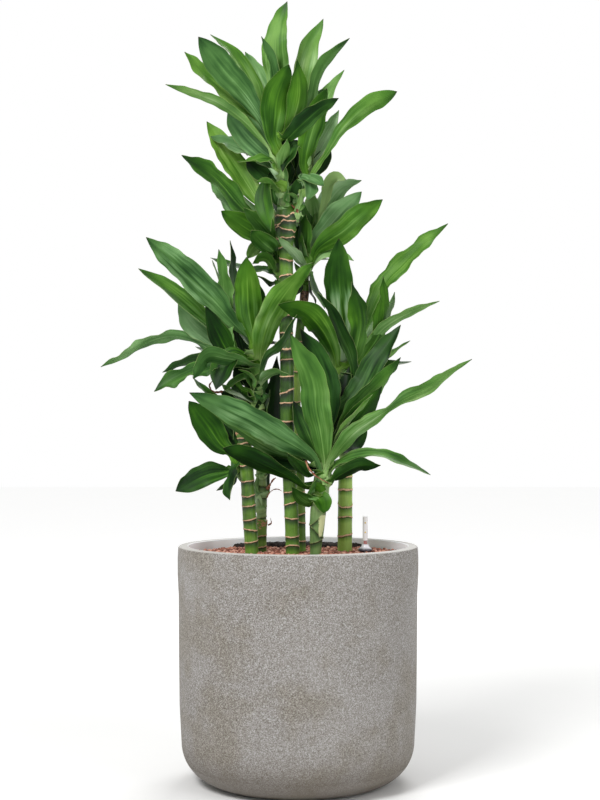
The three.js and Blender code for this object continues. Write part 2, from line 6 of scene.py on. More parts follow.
import bpy
from mathutils import Euler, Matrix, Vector


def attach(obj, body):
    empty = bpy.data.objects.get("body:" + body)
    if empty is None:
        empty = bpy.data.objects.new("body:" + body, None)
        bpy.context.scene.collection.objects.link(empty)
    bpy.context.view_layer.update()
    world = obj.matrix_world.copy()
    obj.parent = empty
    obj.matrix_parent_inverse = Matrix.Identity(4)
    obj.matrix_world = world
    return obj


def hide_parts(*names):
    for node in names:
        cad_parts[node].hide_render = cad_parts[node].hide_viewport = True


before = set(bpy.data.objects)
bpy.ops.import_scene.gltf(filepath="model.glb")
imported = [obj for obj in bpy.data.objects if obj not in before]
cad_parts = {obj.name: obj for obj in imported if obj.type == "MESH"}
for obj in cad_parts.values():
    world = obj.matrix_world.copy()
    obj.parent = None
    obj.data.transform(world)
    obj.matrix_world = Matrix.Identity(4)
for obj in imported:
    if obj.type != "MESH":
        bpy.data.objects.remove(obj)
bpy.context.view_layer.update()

mm = 0.001

# Camera, floor and light.
camera = {"distance": 2459, "height": 588, "lens": 66.4, "sensor": 36, "shift": (0.0025, 0.0336)}

bpy.ops.object.select_all(action="DESELECT")
bpy.ops.object.camera_add(location=(0, -camera["distance"] * mm, camera["height"] * mm),
                          rotation=(math.pi / 2, 0, 0))
eye = bpy.context.object
eye.data.lens, eye.data.sensor_width = camera["lens"], camera["sensor"]
eye.data.shift_x, eye.data.shift_y = camera["shift"]
bpy.context.scene.camera = eye
bpy.context.scene.view_settings.view_transform = "Standard"
print("camera placed")


def paint(red, green, blue):  # a colour as a screen shows it, made linear
    def straight(part):
        share = part / 255
        return share / 12.92 if share <= 0.04045 else ((share + 0.055) / 1.055) ** 2.4
    return straight(red), straight(green), straight(blue), 1


class Link:  # a socket of a look's nodes, which sums can use
    def __init__(self, look, socket):
        self.look, self.socket = look, socket

    def math(self, operation, first, second=0):
        return self.look.node("Math", {"operation": operation}, {0: first, 1: second})

    def __add__(self, other):
        return self.math("ADD", self, other)

    def __sub__(self, other):
        return self.math("SUBTRACT", self, other)

    def __rsub__(self, other):
        return self.math("SUBTRACT", other, self)

    def __mul__(self, other):
        return self.math("MULTIPLY", self, other)

    def __abs__(self):
        return self.math("ABSOLUTE", self)

    __radd__, __rmul__ = __add__, __mul__


class Look:  # one material
    def __init__(self, name, **constants):
        self.material = bpy.data.materials.new(name)
        self.material.use_nodes = True
        self.nodes = self.material.node_tree.nodes
        self.shader = self.nodes["Principled BSDF"]
        for socket, value in constants.items():
            self.feed(socket, value)

    def link(self, socket, value):
        if isinstance(value, Link):
            self.material.node_tree.links.new(value.socket, socket)
        else:
            socket.default_value = value

    def feed(self, socket, value):
        self.link(self.shader.inputs[socket.replace("_", " ")], value)

    def node(self, kind, settings=None, sockets=None, output=0):
        made = self.nodes.new("ShaderNode" + kind)
        for name, value in (settings or {}).items():
            if name == "stops":
                stops = made.color_ramp.elements
                while len(stops) < len(value):
                    stops.new(1)
                for stop, (place, color) in zip(stops, value):
                    stop.position, stop.color = place, color
            else:
                setattr(made, name, value)
        for socket, value in (sockets or {}).items():
            self.link(made.inputs[socket], value)
        return Link(self, made.outputs[output])

    def place(self):
        return self.node("TexCoord", output="Object")

    def attribute(self, name, output="Fac"):
        return self.node("Attribute", {"attribute_name": name}, output=output)

    def part(self, vector, axis):
        return self.node("SeparateXYZ", sockets={0: vector}, output=axis)

    def stretch(self, vector, sizes):
        return self.node("VectorMath", {"operation": "MULTIPLY"}, {0: vector, 1: sizes})

    def length(self, vector):
        return self.node("VectorMath", {"operation": "LENGTH"}, {0: vector}, "Value")

    def noise(self, vector, scale, detail=2.0, rough=0.5, distortion=0.0):
        return self.node("TexNoise", sockets={"Vector": vector, "Scale": scale, "Detail": detail,
                                              "Roughness": rough, "Distortion": distortion})

    def smooth(self, value, low, high):  # 0 at low, 1 at high
        sockets = {"Value": value, "From Min": low, "From Max": high}
        return self.node("MapRange", {"interpolation_type": "SMOOTHSTEP"}, sockets)

    def ramp(self, value, stops):
        painted = [(place, paint(*shade)) for place, shade in stops]
        return self.node("ValToRGB", {"stops": painted}, {0: value})

    def mix(self, share, first, second):  # each color is a link or a shade as a screen shows it
        first, second = [color if isinstance(color, Link) else paint(*color) for color in (first, second)]
        return self.node("Mix", {"data_type": "RGBA"}, {0: share, 6: first, 7: second}, output=2)

    def bump(self, height, distance, strength=1.0):
        normal = self.node("Bump", sockets={"Height": height, "Distance": distance, "Strength": strength})
        self.feed("Normal", normal)


studio = {"sky": 0.55, "backdrop": 1.0, "floorSize": 24, "floor": ((232, 232, 231), (236, 236, 235)),
          "floorGlow": 0.5, "glowFrom": 0.5, "glowTo": 4}
lamps = {  # place, what it faces, side of the lamp, watts
    "key": ((-1.5, -2.2, 3.0), (0, 0, 0.7), 1.1, 100),
    "fill": ((2.3, -2.0, 1.7), (0, 0, 0.6), 1.8, 26),
    "back": ((0.7, 2.4, 2.7), (0, 0, 0.7), 1.6, 50),
}
world = bpy.data.worlds.new("studio")
world.use_nodes = True
bpy.context.scene.world = world
sky = world.node_tree.nodes["Background"]
sky.inputs["Color"].default_value = (1, 1, 1, 1)
ray = world.node_tree.nodes.new("ShaderNodeLightPath")
strength = world.node_tree.nodes.new("ShaderNodeMapRange")
strength.inputs["To Min"].default_value = studio["sky"]
strength.inputs["To Max"].default_value = studio["backdrop"]
world.node_tree.links.new(ray.outputs["Is Camera Ray"], strength.inputs["Value"])
world.node_tree.links.new(strength.outputs["Result"], sky.inputs["Strength"])
for name, (place, target, side, watts) in lamps.items():
    aim = (Vector(target) - Vector(place)).to_track_quat("-Z", "Y").to_euler()
    bpy.ops.object.light_add(type="AREA", location=place, rotation=aim)
    lamp = bpy.context.object
    lamp.name = name + "Lamp"
    lamp.data.size, lamp.data.energy = side, watts

bpy.ops.mesh.primitive_plane_add(size=studio["floorSize"], location=(0, 0, 0))
floor = bpy.context.object
floor.name = "studioFloor"
floorLook = Look("studioFloor", Roughness=0.9, Emission_Strength=studio["floorGlow"])
away = floorLook.smooth(floorLook.length(floorLook.place()), studio["glowFrom"], studio["glowTo"])
floorLook.feed("Emission Color", floorLook.mix(away, (0, 0, 0), (255, 255, 255)))
floorLook.feed("Base Color", floorLook.mix(floorLook.noise(floorLook.place(), 3), *studio["floor"]))
floor.data.materials.append(floorLook.material)
print("studio set")

# Finishes.
def makeCastLook():
    cast = {"grain": 420, "blotch": 10, "cloud": 4, "foot": (86, 75, 60), "footShadeTo": 0.1,
            "tones": [(0.17, (88, 81, 72)), (0.33, (144, 140, 135)), (0.54, (172, 170, 169))],
            "stains": [(0.2, (78, 69, 56)), (0.5, (150, 143, 129))],
            "cream": (204, 202, 198), "creamFrom": (0.3892, 0.3906),  # on the flat top of the wall
            "inner": (250, 251, 255), "innerRadius": (0.1825, 0.1845), "innerFrom": (0.3, 0.31)}
    look = Look("castStone")
    place = look.place()
    worms = abs(look.noise(place, cast["grain"], 1.5, 0.5, 0.7) - 0.5) * 2
    specks = look.noise(place, cast["grain"] * 2, 2, 0.6)
    grain = worms * 1.1 + specks * 0.4
    blotches = look.noise(place, cast["blotch"], 4, 0.6)
    clouds = look.noise(place, cast["cloud"], 2)
    color = look.ramp(grain + (clouds - 0.5) * 0.2, cast["tones"])
    color = look.mix(look.smooth(blotches, 0.44, 0.66) * 0.6, color, look.ramp(grain, cast["stains"]))
    height = look.part(place, "Z")
    # Painted shade: the stone is painted darker towards the foot, where the pot curves under.
    color = look.mix((1 - look.smooth(height, 0, cast["footShadeTo"])) * 0.7, color, cast["foot"])
    onTop = look.smooth(height, *cast["creamFrom"])
    color = look.mix(onTop * 0.7, color, cast["cream"])
    inside = 1 - look.smooth(look.length(look.stretch(place, (1, 1, 0))), *cast["innerRadius"])
    color = look.mix(inside * look.smooth(height, *cast["innerFrom"]), color, cast["inner"])
    look.feed("Base Color", color)
    look.feed("Roughness", 0.75 + worms * 0.2 - inside * 0.25)
    look.bump(grain * (1 - inside) * (1 - onTop * 0.8), 0.0011, 0.8)
    return look.material


def makeSoilLook():
    tones = [(0.3, (16, 12, 10)), (0.55, (42, 33, 28)), (0.75, (74, 61, 52))]
    look = Look("soil")
    crumbs = look.noise(look.place(), 260, 4, 0.7)
    look.feed("Base Color", look.ramp(crumbs, tones))
    look.feed("Roughness", 0.8 + crumbs * 0.2)
    look.bump(crumbs, 0.002)
    return look.material


def makeClayLook():
    clay = {"gapShade": (44, 20, 15), "gapShadeTo": (0.3725, 0.3755), "under": (52, 24, 18), "tones": [
        (0, (84, 42, 34)), (0.35, (146, 84, 66)), (0.7, (198, 136, 114)), (1, (234, 190, 170))]}
    look = Look("firedClay")
    place = look.place()
    pores = look.noise(place, 700, 3, 0.7)
    tone = look.attribute("pelletTone") * 0.8 + (pores - 0.5) * 0.8 + 0.12
    # Painted shade: granules are painted darker low in the layer, where the gaps between them lie in shade.
    gapShade = 1 - look.smooth(look.part(place, "Z"), *clay["gapShadeTo"])
    # Painted shade: each granule's lower side is painted darker, its top lighter.
    under = 1 - look.smooth(look.attribute("pelletSide"), -0.35, 0.55)
    color = look.mix(gapShade * 0.8, look.ramp(tone, clay["tones"]), clay["gapShade"])
    look.feed("Base Color", look.mix(under * 0.85, color, clay["under"]))
    look.feed("Roughness", 0.85 + pores * 0.15)
    look.bump(pores, 0.0006)
    return look.material


def makeGaugeLook(name, low, high, rough, veil=None, **constants):
    look = Look(name, **constants)
    if veil:  # clearer near the foot, where the float's tip shows through
        look.feed("Alpha", 0.1 + veil * look.smooth(look.part(look.place(), "Z"), 0.3955, 0.397))
    cloud = look.noise(look.place(), 180, 3)
    look.feed("Base Color", look.mix(cloud, low, high))
    look.feed("Roughness", rough + cloud * 0.1)
    look.bump(cloud, 0.0002, 0.3)
    return look.material


def makeFootLook():
    look = Look("gaugeShell", Coat_Weight=0.6, Coat_Roughness=0.08)
    place = look.place()
    swirl = look.noise(place, 120, 2)
    dark = 1 - look.smooth(look.part(place, "Z") + (swirl - 0.5) * 0.003, 0.381, 0.3855)
    white = look.mix(swirl, (214, 214, 222), (240, 240, 244))
    look.feed("Base Color", look.mix(dark, white, (58, 55, 66)))
    look.feed("Roughness", 0.12 + swirl * 0.1)
    return look.material


bark = {  # scar is half the breadth of a scar in millimetres
    "cane": {"scar": 0.95, "tans": [(190, 134, 98), (240, 208, 174)], "greens": [
        (0, (18, 40, 8)), (0.3, (48, 84, 16)), (0.6, (88, 128, 34)), (1, (146, 180, 80))]},
    "stem": {"scar": 0.5, "tans": [(104, 116, 66), (150, 162, 104)], "greens": [
        (0, (26, 44, 18)), (0.3, (60, 92, 42)), (0.6, (100, 132, 72)), (1, (152, 178, 112))]},
    "node": (34, 38, 16), "edge": (74, 84, 38), "collar": [(150, 92, 62), (224, 176, 140)],
    "pale": (206, 214, 158), "dead": [(60, 42, 32), (150, 112, 90)],
}


def makeCaneLook(name):
    width = bark[name]["scar"]
    look = Look(name)
    place = look.place()
    distance = look.attribute("scarDistance")  # millimetres to the nearest scar
    below = look.attribute("scarAbove")  # millimetres to the next scar above
    flow = look.stretch(place, (1, 1, 0.12))
    streaks = look.noise(flow, 420, 3, 0.6)
    clouds = look.noise(place, 26, 2)
    fine = look.noise(place, 900, 2)
    uneven = look.noise(place, 240, 3, 0.65) - 0.5
    # Painted light and shade by height is added to the bark's tone here.
    tone = 0.52 + (streaks - 0.5) * 0.34 + (clouds - 0.5) * 0.7 + look.attribute("light")
    tone = tone - (1 - look.smooth(below, 2, 13)) * 0.36
    color = look.ramp(tone, bark[name]["greens"])
    color = look.mix((1 - look.smooth(below + uneven * 3, 2, 5)) * 0.6, color, bark["node"])
    nearby = abs(distance + uneven * 3)
    scar = 1 - look.smooth(nearby, width * 0.7, width * 1.25)
    edge = (1 - look.smooth(nearby, width, width * 2)) * 0.6
    color = look.mix(edge, color, bark["edge"])
    collar = look.attribute("collar")
    flakes = look.noise(look.stretch(place, (1, 1, 2.2)), 130, 3, 0.6)
    ragged = look.smooth(flakes + collar * 0.1, 0.56, 0.61)
    color = look.mix(ragged * look.smooth(collar, 0, 0.1), color, look.mix(fine, *bark["collar"]))
    color = look.mix(scar, color, look.mix(fine, *bark[name]["tans"]))
    color = look.mix(look.smooth(look.attribute("pale") + uneven * 0.8, 0.35, 0.7), color, bark["pale"])
    brown = look.mix(look.smooth(uneven, -0.12, 0.14), *bark["dead"])
    color = look.mix(look.smooth(look.attribute("dead") + uneven * 0.5, 0.4, 0.6), color, brown)
    look.feed("Base Color", color)
    look.feed("Roughness", 0.42 + scar * 0.35 + ragged * 0.3)
    look.bump(streaks * 0.3 + scar * 0.5 + fine * 0.2 * scar, 0.0006)
    return look.material


leafColors = {
    "fresh": [(0, (3, 18, 1)), (0.2, (12, 44, 4)), (0.4, (36, 76, 10)), (0.6, (66, 112, 24)),
              (0.8, (104, 148, 52)), (1, (150, 186, 98))],
    "grey": [(0, (6, 26, 10)), (0.2, (24, 54, 24)), (0.4, (48, 84, 42)), (0.6, (80, 120, 68)),
             (0.8, (116, 154, 102)), (1, (160, 190, 146))],
    "margin": (170, 186, 112), "tip": (52, 46, 28), "rim": [(72, 106, 44), (142, 158, 92)],
    "dried": [(0.3, (62, 34, 26)), (0.5, (140, 82, 60)), (0.7, (196, 146, 112))],
}


def makeLeafLook(name, side):  # the two faces of a blade differ
    upper = side == "upper"
    look = Look(name)
    blade = look.attribute("blade", "Vector")  # across from -1 to 1, along from 0 to 1, greyness
    grain = look.attribute("grain", "Vector")  # across and along in millimetres, and the leaf's own number
    across, along = abs(look.part(blade, "X")), look.part(blade, "Y")
    wide = 1 - look.smooth(along, 0.6, 0.95)  # lines crowd together towards the tip and fade there
    pleats = (look.noise(look.stretch(grain, (0.18, 0.006, 1)), 1, 2, 0.6) - 0.5) * wide
    veins = (look.noise(look.stretch(grain, (0.8, 0.014, 1)), 1, 2, 0.6) - 0.5) * wide
    clouds = look.noise(look.stretch(grain, (0.03, 0.014, 1)), 1, 2)
    bands = look.noise(look.stretch(grain, (0.1, 0.009, 1)), 1.3, 2)
    # Painted sheen: lighter, greyer bands painted into the colour where the blade would reflect the light.
    paintedSheenAmount = look.attribute("sheen") * look.smooth(bands, 0.36, 0.62)
    grey = look.part(blade, "Z") + paintedSheenAmount * 0.7
    tone = look.attribute(side + "Tone") + paintedSheenAmount * 0.24
    # The pleats paint stripes of light and shade into the tone, as well as bumping the surface.
    tone = tone + pleats * (0.75 if upper else 0.5) + veins * 0.22 + (clouds - 0.5) * 0.75
    tone = tone + (1 - look.smooth(along, 0.02, 0.3)) * 0.32 - look.smooth(along, 0.86, 1) * 0.16 + 0.05
    midrib = (1 - look.smooth(across, 0.02, 0.08)) * (1 - look.smooth(along, 0.4, 0.95))
    tone = tone + midrib * (0.08 if upper else 0.16)
    color = look.mix(grey, look.ramp(tone, leafColors["fresh"]), look.ramp(tone, leafColors["grey"]))
    color = look.mix(look.smooth(across, 0.95, 0.99) * 0.14, color, leafColors["margin"])
    color = look.mix(look.smooth(along, 0.98, 0.998) * 0.8, color, leafColors["tip"])
    look.feed("Base Color", color)
    look.feed("Roughness", (0.44 if upper else 0.52) + clouds * 0.15)
    look.shader.inputs["Specular IOR Level"].default_value = 0.18 if upper else 0.1
    look.bump(pleats - midrib * (0.5 if upper else -0.4), 0.0005, 0.8)
    return look.material


def makeRimLook():
    look = Look("leafRim", Roughness=0.5)
    grain = look.attribute("grain", "Vector")
    spots = look.noise(look.stretch(grain, (0.2, 0.06, 1)), 1, 2)
    look.feed("Base Color", look.mix(spots, *leafColors["rim"]))
    return look.material


def makeDriedLook():
    look = Look("driedLeaf", Roughness=0.8)
    mottle = look.noise(look.stretch(look.place(), (1, 1, 0.3)), 300, 3, 0.6)
    look.feed("Base Color", look.ramp(mottle, leafColors["dried"]))
    look.bump(mottle, 0.0008)
    return look.material


castStone = makeCastLook()
soilLook = makeSoilLook()
clayLook = makeClayLook()
caneLook, stemLook = makeCaneLook("cane"), makeCaneLook("stem")
leafFinishes = [makeLeafLook("leafUpper", "upper"), makeLeafLook("leafUnder", "under"), makeRimLook()]
driedLook = makeDriedLook()
print("finishes made")

# Shared ways of making a mesh.
def addGrid(name, columns, rows):  # a unit sheet; its x and y run from -0.5 to 0.5
    bpy.ops.object.select_all(action="DESELECT")
    bpy.ops.mesh.primitive_grid_add(x_subdivisions=columns, y_subdivisions=rows, size=1, location=(0, 0, 0))
    sheet = bpy.context.object
    sheet.name = sheet.data.name = name
    return sheet


def keep(mesh, name, values, kind="FLOAT"):  # an attribute of each vertex
    layer = mesh.attributes.new(name, kind, "POINT")
    if kind == "FLOAT":
        layer.data.foreach_set("value", values)
    else:
        layer.data.foreach_set("vector", [part for value in values for part in value])


def selectOnly(*pieces):
    bpy.ops.object.select_all(action="DESELECT")
    for piece in pieces:
        piece.select_set(True)
    bpy.context.view_layer.objects.active = pieces[0]


def copied(piece):
    copy = piece.copy()
    copy.data = copy.data.copy()
    bpy.context.collection.objects.link(copy)
    return copy


def joined(name, pieces):
    selectOnly(*pieces)
    bpy.ops.object.join()
    pieces[0].name = pieces[0].data.name = name
    return pieces[0]


def thicken(piece, thickness, offset, under=0, rim=0):  # under and rim number those faces' finishes
    skin = piece.modifiers.new("skin", "SOLIDIFY")
    skin.thickness, skin.offset = thickness * mm, offset
    skin.material_offset, skin.material_offset_rim = under, rim
    selectOnly(piece)
    bpy.ops.object.modifier_apply(modifier="skin")
    bpy.ops.object.shade_smooth_by_angle(angle=math.radians(60))


def closeShell(piece):  # joins the seam and the poles, and turns the faces outwards
    selectOnly(piece)
    bpy.ops.object.mode_set(mode="EDIT")
    bpy.ops.mesh.select_all(action="SELECT")
    bpy.ops.mesh.remove_doubles(threshold=1e-6)
    bpy.ops.mesh.normals_make_consistent(inside=False)
    bpy.ops.object.mode_set(mode="OBJECT")
    bpy.ops.object.shade_smooth_by_angle(angle=math.radians(50))


def finish(piece, material, slot, *nodes):
    if material:
        piece.data.materials.append(material)
    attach(piece, "root")
    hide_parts(*nodes)


def turned(name, profile, facets, centre=(0, 0), shift=None):  # [radius, height] round an upright axis
    piece = addGrid(name, facets, len(profile) - 1)
    for vertex in piece.data.vertices:
        angle = (vertex.co.x + 0.5) * 2 * math.pi
        radius, height = profile[round((vertex.co.y + 0.5) * (len(profile) - 1))]
        x, y = radius * math.sin(angle) + centre[0], -radius * math.cos(angle) + centre[1]
        point = Vector((x, y, height))
        vertex.co = (shift(point, radius) if shift else point) * mm
    closeShell(piece)
    return piece


def arc(centre, radius, start, end, steps):  # points round a corner, in degrees
    turns = [math.radians(start + (end - start) * step / steps) for step in range(steps + 1)]
    return [(centre[0] + radius * math.cos(turn), centre[1] + radius * math.sin(turn)) for turn in turns]


def lines(corners, step):  # points along straight runs, about a step apart
    points = [corners[0]]
    for start, end in zip(corners, corners[1:]):
        count = max(1, round(math.dist(start, end) / step))
        points += [(start[0] + (end[0] - start[0]) * i / count, start[1] + (end[1] - start[1]) * i / count)
                   for i in range(1, count + 1)]
    return points


def smoothStep(value, low, high):
    share = min(1, max(0, (value - low) / (high - low)))
    return share * share * (3 - 2 * share)


def blend(first, second, share):
    return first + (second - first) * share


def rounded(start, bend, end, steps=8):  # the points after start of a corner that is rounded off
    shares = [step / steps for step in range(1, steps + 1)]
    return [tuple(blend(blend(start[k], bend[k], share), blend(bend[k], end[k], share), share)
                  for k in (0, 1)) for share in shares]


# Pot, soil and granules.
pot = {
    "base": 126, "corner": 67.5, "wall": [(196.7, 130), (197.5, 210), (198.2, 310), (200, 345), (200, 372)],
    "rim": 199, "top": 391, "round": 3.5, "lip": 1.5, "inner": 182.5, "foot": 176, "floor": 18,
    "innerCorner": 61, "floorRadius": 115, "facets": 160,
}


def innerRadius(height):
    low = pot["floor"] + pot["innerCorner"]
    return blend(pot["foot"], pot["inner"], (height - low) / (pot["top"] - low))


def potProfile():
    top, turn, lip = pot["top"], pot["round"], pot["lip"]
    outside = lines([(0, 0), (pot["base"] - 8, 0)], 20)
    outside += arc((pot["base"], pot["corner"]), pot["corner"], -90, 0, 14)[1:]
    outside += lines([outside[-1], *pot["wall"], (pot["rim"], top - turn)], 12)[1:]
    outside += arc((pot["rim"] - turn, top - turn), turn, 0, 90, 5)[1:]
    outside += lines([outside[-1], (pot["inner"] + lip, top)], 3)[1:]
    outside += arc((pot["inner"] + lip, top - lip), lip, 90, 180, 3)[1:]
    wallFoot = (pot["foot"], pot["floor"] + pot["innerCorner"])
    inside = lines([outside[-1], wallFoot], 14)[1:]
    inside += rounded(wallFoot, (pot["foot"], pot["floor"]), (pot["floorRadius"], pot["floor"]))
    return outside + inside + lines([inside[-1], (0, pot["floor"])], 20)[1:]


potShell = turned("potShell", potProfile(), pot["facets"])
finish(potShell, castStone, "cast_stone", "pot")
print("pot turned")

soil = {"top": 366, "bank": 382, "bankSlope": (134, 144), "gap": 0.4, "rough": 1.2, "evenRim": 2,
        "facets": 180}
chance = random.Random("soil")


def bankLift(y):  # the soil stands higher behind the granules
    return smoothStep(y, *soil["bankSlope"]) * (soil["bank"] - soil["top"])


def heap(point, radius):  # raises the bank and roughens the top
    if point.z < soil["top"] - 1:
        return point
    rough = chance.uniform(-soil["rough"], soil["rough"])
    rough *= 1 if radius < innerRadius(soil["top"]) - soil["evenRim"] else 0
    return Vector((point.x, point.y, point.z + bankLift(point.y) + rough))


soilFoot, soilFloor = pot["foot"] - soil["gap"], pot["floor"] + soil["gap"]
wallFoot = (soilFoot, pot["floor"] + pot["innerCorner"])
soilProfile = lines([(0, soilFloor), (pot["floorRadius"], soilFloor)], 20)
soilProfile += rounded(soilProfile[-1], (soilFoot, soilFloor), wallFoot)
soilProfile += lines([soilProfile[-1], (innerRadius(soil["top"]) - soil["gap"], soil["top"])], 20)[1:]
soilProfile += lines([soilProfile[-1], (0, soil["top"])], 3)[1:]
soilBed = turned("soilBed", soilProfile, soil["facets"], shift=heap)
finish(soilBed, soilLook, "soil", "potting_soil")


def makePebbles(name, shapes, places):  # copies of a few pebbles, joined; places hold [point, size, tone]
    copies = []
    for point, size, tone in places:
        copy = copied(chance.choice(shapes))
        turn = Euler([chance.uniform(0, 6.28) for _ in range(3)])
        copy.rotation_euler, copy.location, copy.scale = turn, Vector(point) * mm, [size * mm] * 3
        keep(copy.data, "pelletTone", [tone] * len(copy.data.vertices))
        # The height of each vertex within its pebble, which the clay finish uses to paint shade on the
        # lower side.
        keep(copy.data, "pelletSide", [(turn.to_matrix() @ vertex.co).z for vertex in copy.data.vertices])
        copies.append(copy)
    pebbles = joined(name, copies)
    bpy.ops.object.transform_apply(location=True, rotation=True, scale=True)
    bpy.ops.object.shade_smooth()
    return pebbles


def makePebbleShapes(count, unevenness):
    shapes = []
    for _ in range(count):
        bpy.ops.object.select_all(action="DESELECT")
        bpy.ops.mesh.primitive_cube_add(size=1.2, location=(0, 0, 0))
        bpy.ops.object.mode_set(mode="EDIT")
        bpy.ops.mesh.subdivide(number_cuts=1)
        bpy.ops.transform.tosphere(value=0.9)
        bpy.ops.object.mode_set(mode="OBJECT")
        pebble = bpy.context.object
        for vertex in pebble.data.vertices:
            vertex.co *= chance.uniform(1 - unevenness, 1 + unevenness)
        shapes.append(pebble)
    return shapes


granules = {"spacing": 7.4, "rowSpacing": 0.87, "rows": 32, "columns": 28, "stray": 1.2,
            "radius": (2.7, 3.9), "levels": {"Lower": 370.5, "Upper": 375}, "wallAt": 378, "wallGap": 4,
            "backEdge": 135, "shapes": 4, "unevenness": 0.13}
standing = [  # what stands in the granules: [across, depth, radius]
    (-77, 8, 11), (-62, 50, 9), (-9, 0, 11), (6, 45, 7), (78, 60, 12), (30, -15, 10), (113.6, 35, 11.5)]
standing = [(x * (1 + y / camera["distance"]), y, r) for x, y, r in standing]
pebbleShapes = makePebbleShapes(granules["shapes"], granules["unevenness"])
for layer, level in granules["levels"].items():
    spots = []
    step, stray = granules["spacing"], granules["stray"]
    reach = innerRadius(granules["wallAt"]) - granules["wallGap"]
    for row in range(-granules["rows"], granules["rows"] + 1):
        for column in range(-granules["columns"], granules["columns"] + 1):
            x = (column + 0.5 * (row % 2)) * step + chance.uniform(-stray, stray)
            y = row * step * granules["rowSpacing"] + chance.uniform(-stray, stray)
            size = chance.uniform(*granules["radius"])
            tone = chance.random()
            height = level + chance.uniform(-1.0, 1.0) + chance.choice([0, 0, 0, 0.8])
            if math.hypot(x, y) > reach or y > granules["backEdge"] + 4 * math.sin(x / 13):
                continue
            if all(math.hypot(x - sx, y - sy) > radius + size * 0.8 for sx, sy, radius in standing):
                spots.append([(x, y, height), size, tone])
    pellets = makePebbles("clayPellets" + layer, pebbleShapes, spots)
    finish(pellets, clayLook, "clay", "clay_granules")

crumbs = {"count": 900, "radius": (0.7, 2.4), "wallAt": 380, "wallGap": 3, "spread": 40, "frontEdge": 132}
spots = []
for _ in range(crumbs["count"]):
    angle = chance.uniform(0, math.pi)
    radius = innerRadius(crumbs["wallAt"]) - crumbs["wallGap"] - crumbs["spread"] * chance.random() ** 1.5
    x, y = radius * math.cos(angle), radius * math.sin(angle)
    if y > crumbs["frontEdge"]:
        point = (x, y, soil["top"] + bankLift(y))
        spots.append([point, chance.uniform(*crumbs["radius"]), chance.random()])
soilCrumbs = makePebbles("soilCrumbs", pebbleShapes, spots)
finish(soilCrumbs, soilLook, "soil", "potting_soil")
for pebble in pebbleShapes:
    bpy.data.objects.remove(pebble)
print("soil and granules laid")

# Water gauge.
gauge = {
    "at": (113.6, 35), "bottom": 60, "top": 436.6, "tube": 4.25, "bore": 3.3, "rod": 1.2, "floatTop": 398,
    "foot": 378.3, "marks": (410, 426), "markSunk": 0.3,
    "bell": [(4.55, 0), (8, 0), (11.3, 0), (12, 0.6), (12.2, 1.8), (11.8, 3), (10.9, 4.2), (9.6, 5.3),
             (8.2, 6.3), (7.1, 7.4), (6.4, 8.6), (6.1, 9.8), (5.9, 10.8), (5.4, 11.4), (4.55, 11.4),
             (4.55, 0)],
    "clear": [(242, 241, 240), (252, 252, 252)], "white": [(226, 226, 228), (240, 240, 242)],
    "red": [(150, 22, 12), (182, 40, 22)], "yellow": [(226, 190, 60), (240, 210, 96)],
}
bottom, top, tube, bore = gauge["bottom"], gauge["top"], gauge["tube"], gauge["bore"]
tubeProfile = lines([(bore, bottom), (tube, bottom), (tube, top - 1)], 12)
tubeProfile += arc((tube - 1, top - 1), 1, 0, 90, 4)[1:]
tubeProfile += [(1.5, top), (0, top), (0, top - 1), (bore - 0.4, top - 1), (bore, top - 1.5)]
tubeProfile += lines([tubeProfile[-1], (bore, bottom)], 12)[1:]
gaugeTube = turned("gaugeTube", tubeProfile, 32, gauge["at"])
clearLook = makeGaugeLook("clearPlastic", *gauge["clear"], 0.2, 0.8, IOR=1.45)
finish(gaugeTube, clearLook, "clear_plastic", "gauge_tube")

footProfile = [(radius, gauge["foot"] + rise) for radius, rise in gauge["bell"]]
gaugeFoot = turned("gaugeFoot", footProfile, 40, gauge["at"])
finish(gaugeFoot, makeFootLook(), "gauge_shell", "gauge_foot")

tip = gauge["floatTop"]
rodProfile = lines([(0, bottom), (gauge["rod"], bottom), (gauge["rod"], tip - 9), (0, tip - 9)], 20)
gaugeRod = turned("gaugeRod", rodProfile, 16, gauge["at"])
finish(gaugeRod, makeGaugeLook("gaugeWhite", *gauge["white"], 0.4), "gauge_shell", "gauge_float")
tipProfile = [(0, tip - 8.9), (1.6, tip - 8.9), (2.7, tip - 8)]
tipProfile += lines([(2.9, tip - 7), (2.9, tip - 1.4)], 2) + [(2.5, tip - 0.5), (1.4, tip), (0, tip)]
gaugeFloat = turned("gaugeFloat", tipProfile, 24, gauge["at"])
finish(gaugeFloat, makeGaugeLook("floatRed", *gauge["red"], 0.35), "float_red", "gauge_float")
markLook = makeGaugeLook("gaugeMarks", *gauge["yellow"], 0.5)
markPlace = gauge["at"][0], gauge["at"][1] - tube + gauge["markSunk"]
for number, level in enumerate(gauge["marks"], 1):
    dot = [(0, level - 1.3), (0.9, level - 1), (1.3, level), (0.9, level + 1), (0, level + 1.3)]
    finish(turned(f"gaugeMark{number}", dot, 16, markPlace), markLook, "gauge_shell", "gauge_tube")
print("gauge made")
